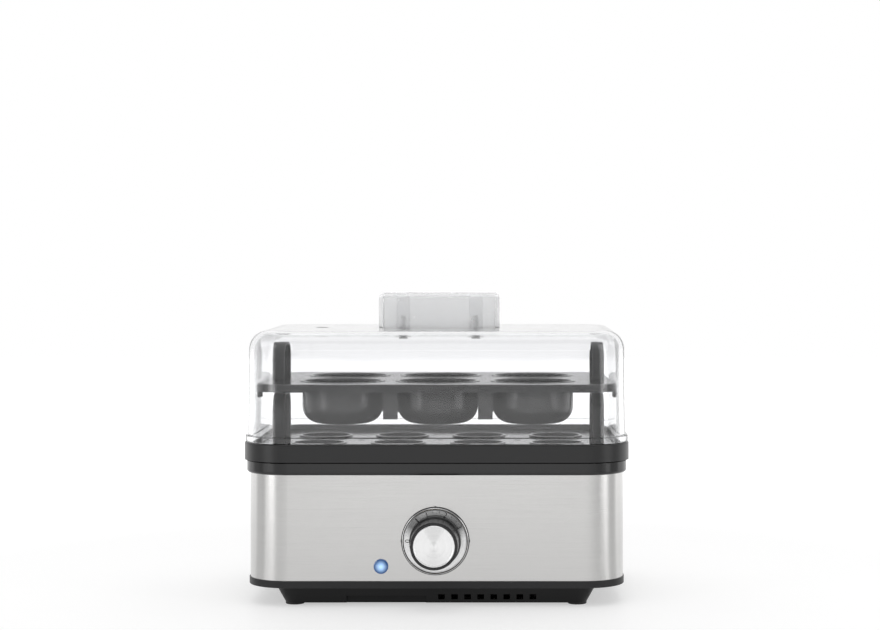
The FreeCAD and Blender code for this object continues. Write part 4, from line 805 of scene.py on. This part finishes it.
lens_low, lens_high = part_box("indicator_lens")
lens_x = (lens_low[0] + lens_high[0]) / 2
lens_z = (lens_low[2] + lens_high[2]) / 2
lens_radius = (lens_high[0] - lens_low[0]) / 2
blue = Finish("blue_lens")
at = blue.place()
outward = (((at.part("X") - lens_x) ** 2 + (at.part("Z") - lens_z) ** 2) ** 0.5) / lens_radius
rim = outward.spread(*LENS_RIM)
frost = blue.noise(700.0, 2.0)
blue.set(
    Base_Color=blue.mixed(rim, (0.35, 0.6, 0.95, 1), (0.02, 0.07, 0.2, 1)),
    Roughness=0.08 + 0.06 * frost,
    Emission_Color=blue.mixed(rim, (0.46, 0.68, 1.0, 1), (0.01, 0.05, 0.15, 1)),
    Emission_Strength=0.8,
    Coat_Weight=0.6 + 0.3 * frost,
)
paint(blue, "indicator_lens")
print("lens", round(2 * lens_radius / MM, 1), "mm across")

# %% [markdown]
# ## Cord gland
#
# The gland is a rubber grommet: two flanges clamp the steel between them, and the tail
# behind is ribbed so that it bends with a cord. All of it is round, so it is turned too,
# from a closed outline that leaves the bore open.

# %% Gland
BORE_RADIUS = 3.4
COLLAR_RADIUS = 6.4
GLAND_STEPS = 72

low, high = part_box("cord_gland")
gland_reach = (high[1] - low[1]) / MM
flange = (high[0] - low[0]) / 2 / MM
gland_foot = ((low[0] + high[0]) / 2, low[1], (low[2] + high[2]) / 2)
gland_outline = [
    (BORE_RADIUS, 0, 0.2), (COLLAR_RADIUS, 0, 0.4), (COLLAR_RADIUS, 5.9, 0), (flange, 6.0, 0.4),
    (flange, 8.4, 0.1), (COLLAR_RADIUS, 8.4, 0), (COLLAR_RADIUS, 9.0, 0), (flange, 9.0, 0.1),
    (flange, 11.4, 0.9), (5.6, 11.5, 0.2), (5.6, 11.9, 0.2), (6.4, 12.0, 0.3),
    (6.4, 12.7, 0.3), (5.4, 12.8, 0.2), (5.4, 13.2, 0.2), (6.1, 13.3, 0.3),
    (6.1, gland_reach, 0.5), (BORE_RADIUS, gland_reach, 0.4)]
gland_mesh = bmesh.new()
turn(gland_mesh, rounded(gland_outline, closed=True), gland_foot, (0, 1, 0), GLAND_STEPS)
new_piece("gland_ribbed", gland_mesh, rubber, "base", "cord_gland")
print("gland", round(gland_reach, 1), "mm long with a bore of", 2 * BORE_RADIUS, "mm")

# %% [markdown]
# ## Screws
#
# The solids' screws are plain pins with a round head. Real ones have a cross recess and a
# thread. Each loose solid in a node gives the place and the length of one screw.

# %% Places of the screws
SAME_SPOT = 1e-7


def loose_boxes(name):
    """The lowest and highest corner of each separate solid in a node."""
    mesh = bmesh.new()
    mesh.from_mesh(parts[name].data)
    bmesh.ops.remove_doubles(mesh, verts=mesh.verts, dist=SAME_SPOT)
    waiting = set(mesh.verts)
    boxes = []
    while waiting:
        found = [waiting.pop()]
        for vertex in found:
            for edge in vertex.link_edges:
                other = edge.other_vert(vertex)
                if other in waiting:
                    waiting.remove(other)
                    found.append(other)
        corners = [[pick(v.co[axis] for v in found) for axis in range(3)] for pick in (min, max)]
        boxes.append(corners)
    mesh.free()
    return sorted(boxes)


# %% [markdown]
# A screw is turned like the knob, with a zigzag for its thread. The end of its head is
# filled between the rim and a cross, and the cross is sunk to make the recess.

# %% Screws with a cross recess
HEAD_HEIGHT = 1.8
SHANK_RADIUS = 1.5
THREAD_PITCH = 0.7
THREAD_DEPTH = 0.28
SLOT_HALF_WIDTH = 0.3
ARM_SHARE = 0.52
RECESS_SHARE = 0.6
SCREW_STEPS = 48


def screw(mesh, foot, head, length):
    """Add a screw that stands on its head at foot, in mm, with its tip upward."""
    root = SHANK_RADIUS - THREAD_DEPTH
    outline = [(0, length), (SHANK_RADIUS - 0.5, length), (SHANK_RADIUS - 0.25, length - 0.4)]
    reach = length - 0.5
    while reach - THREAD_PITCH > HEAD_HEIGHT + 0.6:
        outline += [(SHANK_RADIUS, reach - 0.25 * THREAD_PITCH),
                    (root, reach - 0.75 * THREAD_PITCH)]
        reach -= THREAD_PITCH
    outline += [(SHANK_RADIUS, reach - 0.3), (SHANK_RADIUS, HEAD_HEIGHT), (head, HEAD_HEIGHT),
                (head, 0.35), (head - 0.12, 0.12), (head - 0.35, 0)]
    turn(mesh, [(radius * MM, at * MM) for radius, at in outline], foot, (0, 0, 1), SCREW_STEPS)
    mesh.verts.ensure_lookup_table()
    rim = mesh.verts[len(mesh.verts) - SCREW_STEPS:]
    edges = [mesh.edges.get((rim[step], rim[step - 1])) for step in range(SCREW_STEPS)]
    slot = SLOT_HALF_WIDTH * MM
    arm = head * ARM_SHARE * MM
    cross = [(slot, slot), (slot, arm), (-slot, arm), (-slot, slot), (-arm, slot),
             (-arm, -slot), (-slot, -slot), (-slot, -arm), (slot, -arm), (slot, -slot),
             (arm, -slot), (arm, slot)]
    depth = HEAD_HEIGHT * RECESS_SHARE * MM
    mouth = [mesh.verts.new(Vector((x, y, 0)) + Vector(foot)) for x, y in cross]
    bottom = [mesh.verts.new(Vector((x * RECESS_SHARE, y * RECESS_SHARE, depth)) + Vector(foot))
              for x, y in cross]
    edges += [mesh.edges.new((mouth[step], mouth[step - 1])) for step in range(len(cross))]
    bmesh.ops.triangle_fill(mesh, use_beauty=True, edges=edges)
    for step in range(len(cross)):
        mesh.faces.new([mouth[step - 1], mouth[step], bottom[step], bottom[step - 1]])
    mesh.faces.new(bottom)


for node, body, finish in (("cover_screws", "base", zinc), ("lid_screws", "lid", nylon)):
    screws_mesh = bmesh.new()
    boxes = loose_boxes(node)
    for low, high in boxes:
        head = (high[0] - low[0]) / 2 / MM
        middle = ((low[0] + high[0]) / 2, (low[1] + high[1]) / 2, low[2])
        screw(screws_mesh, middle, head, (high[2] - low[2]) / MM)
    new_piece(node + "_cross", screws_mesh, finish, body, node)
    print(node, "has", len(boxes), "screws")
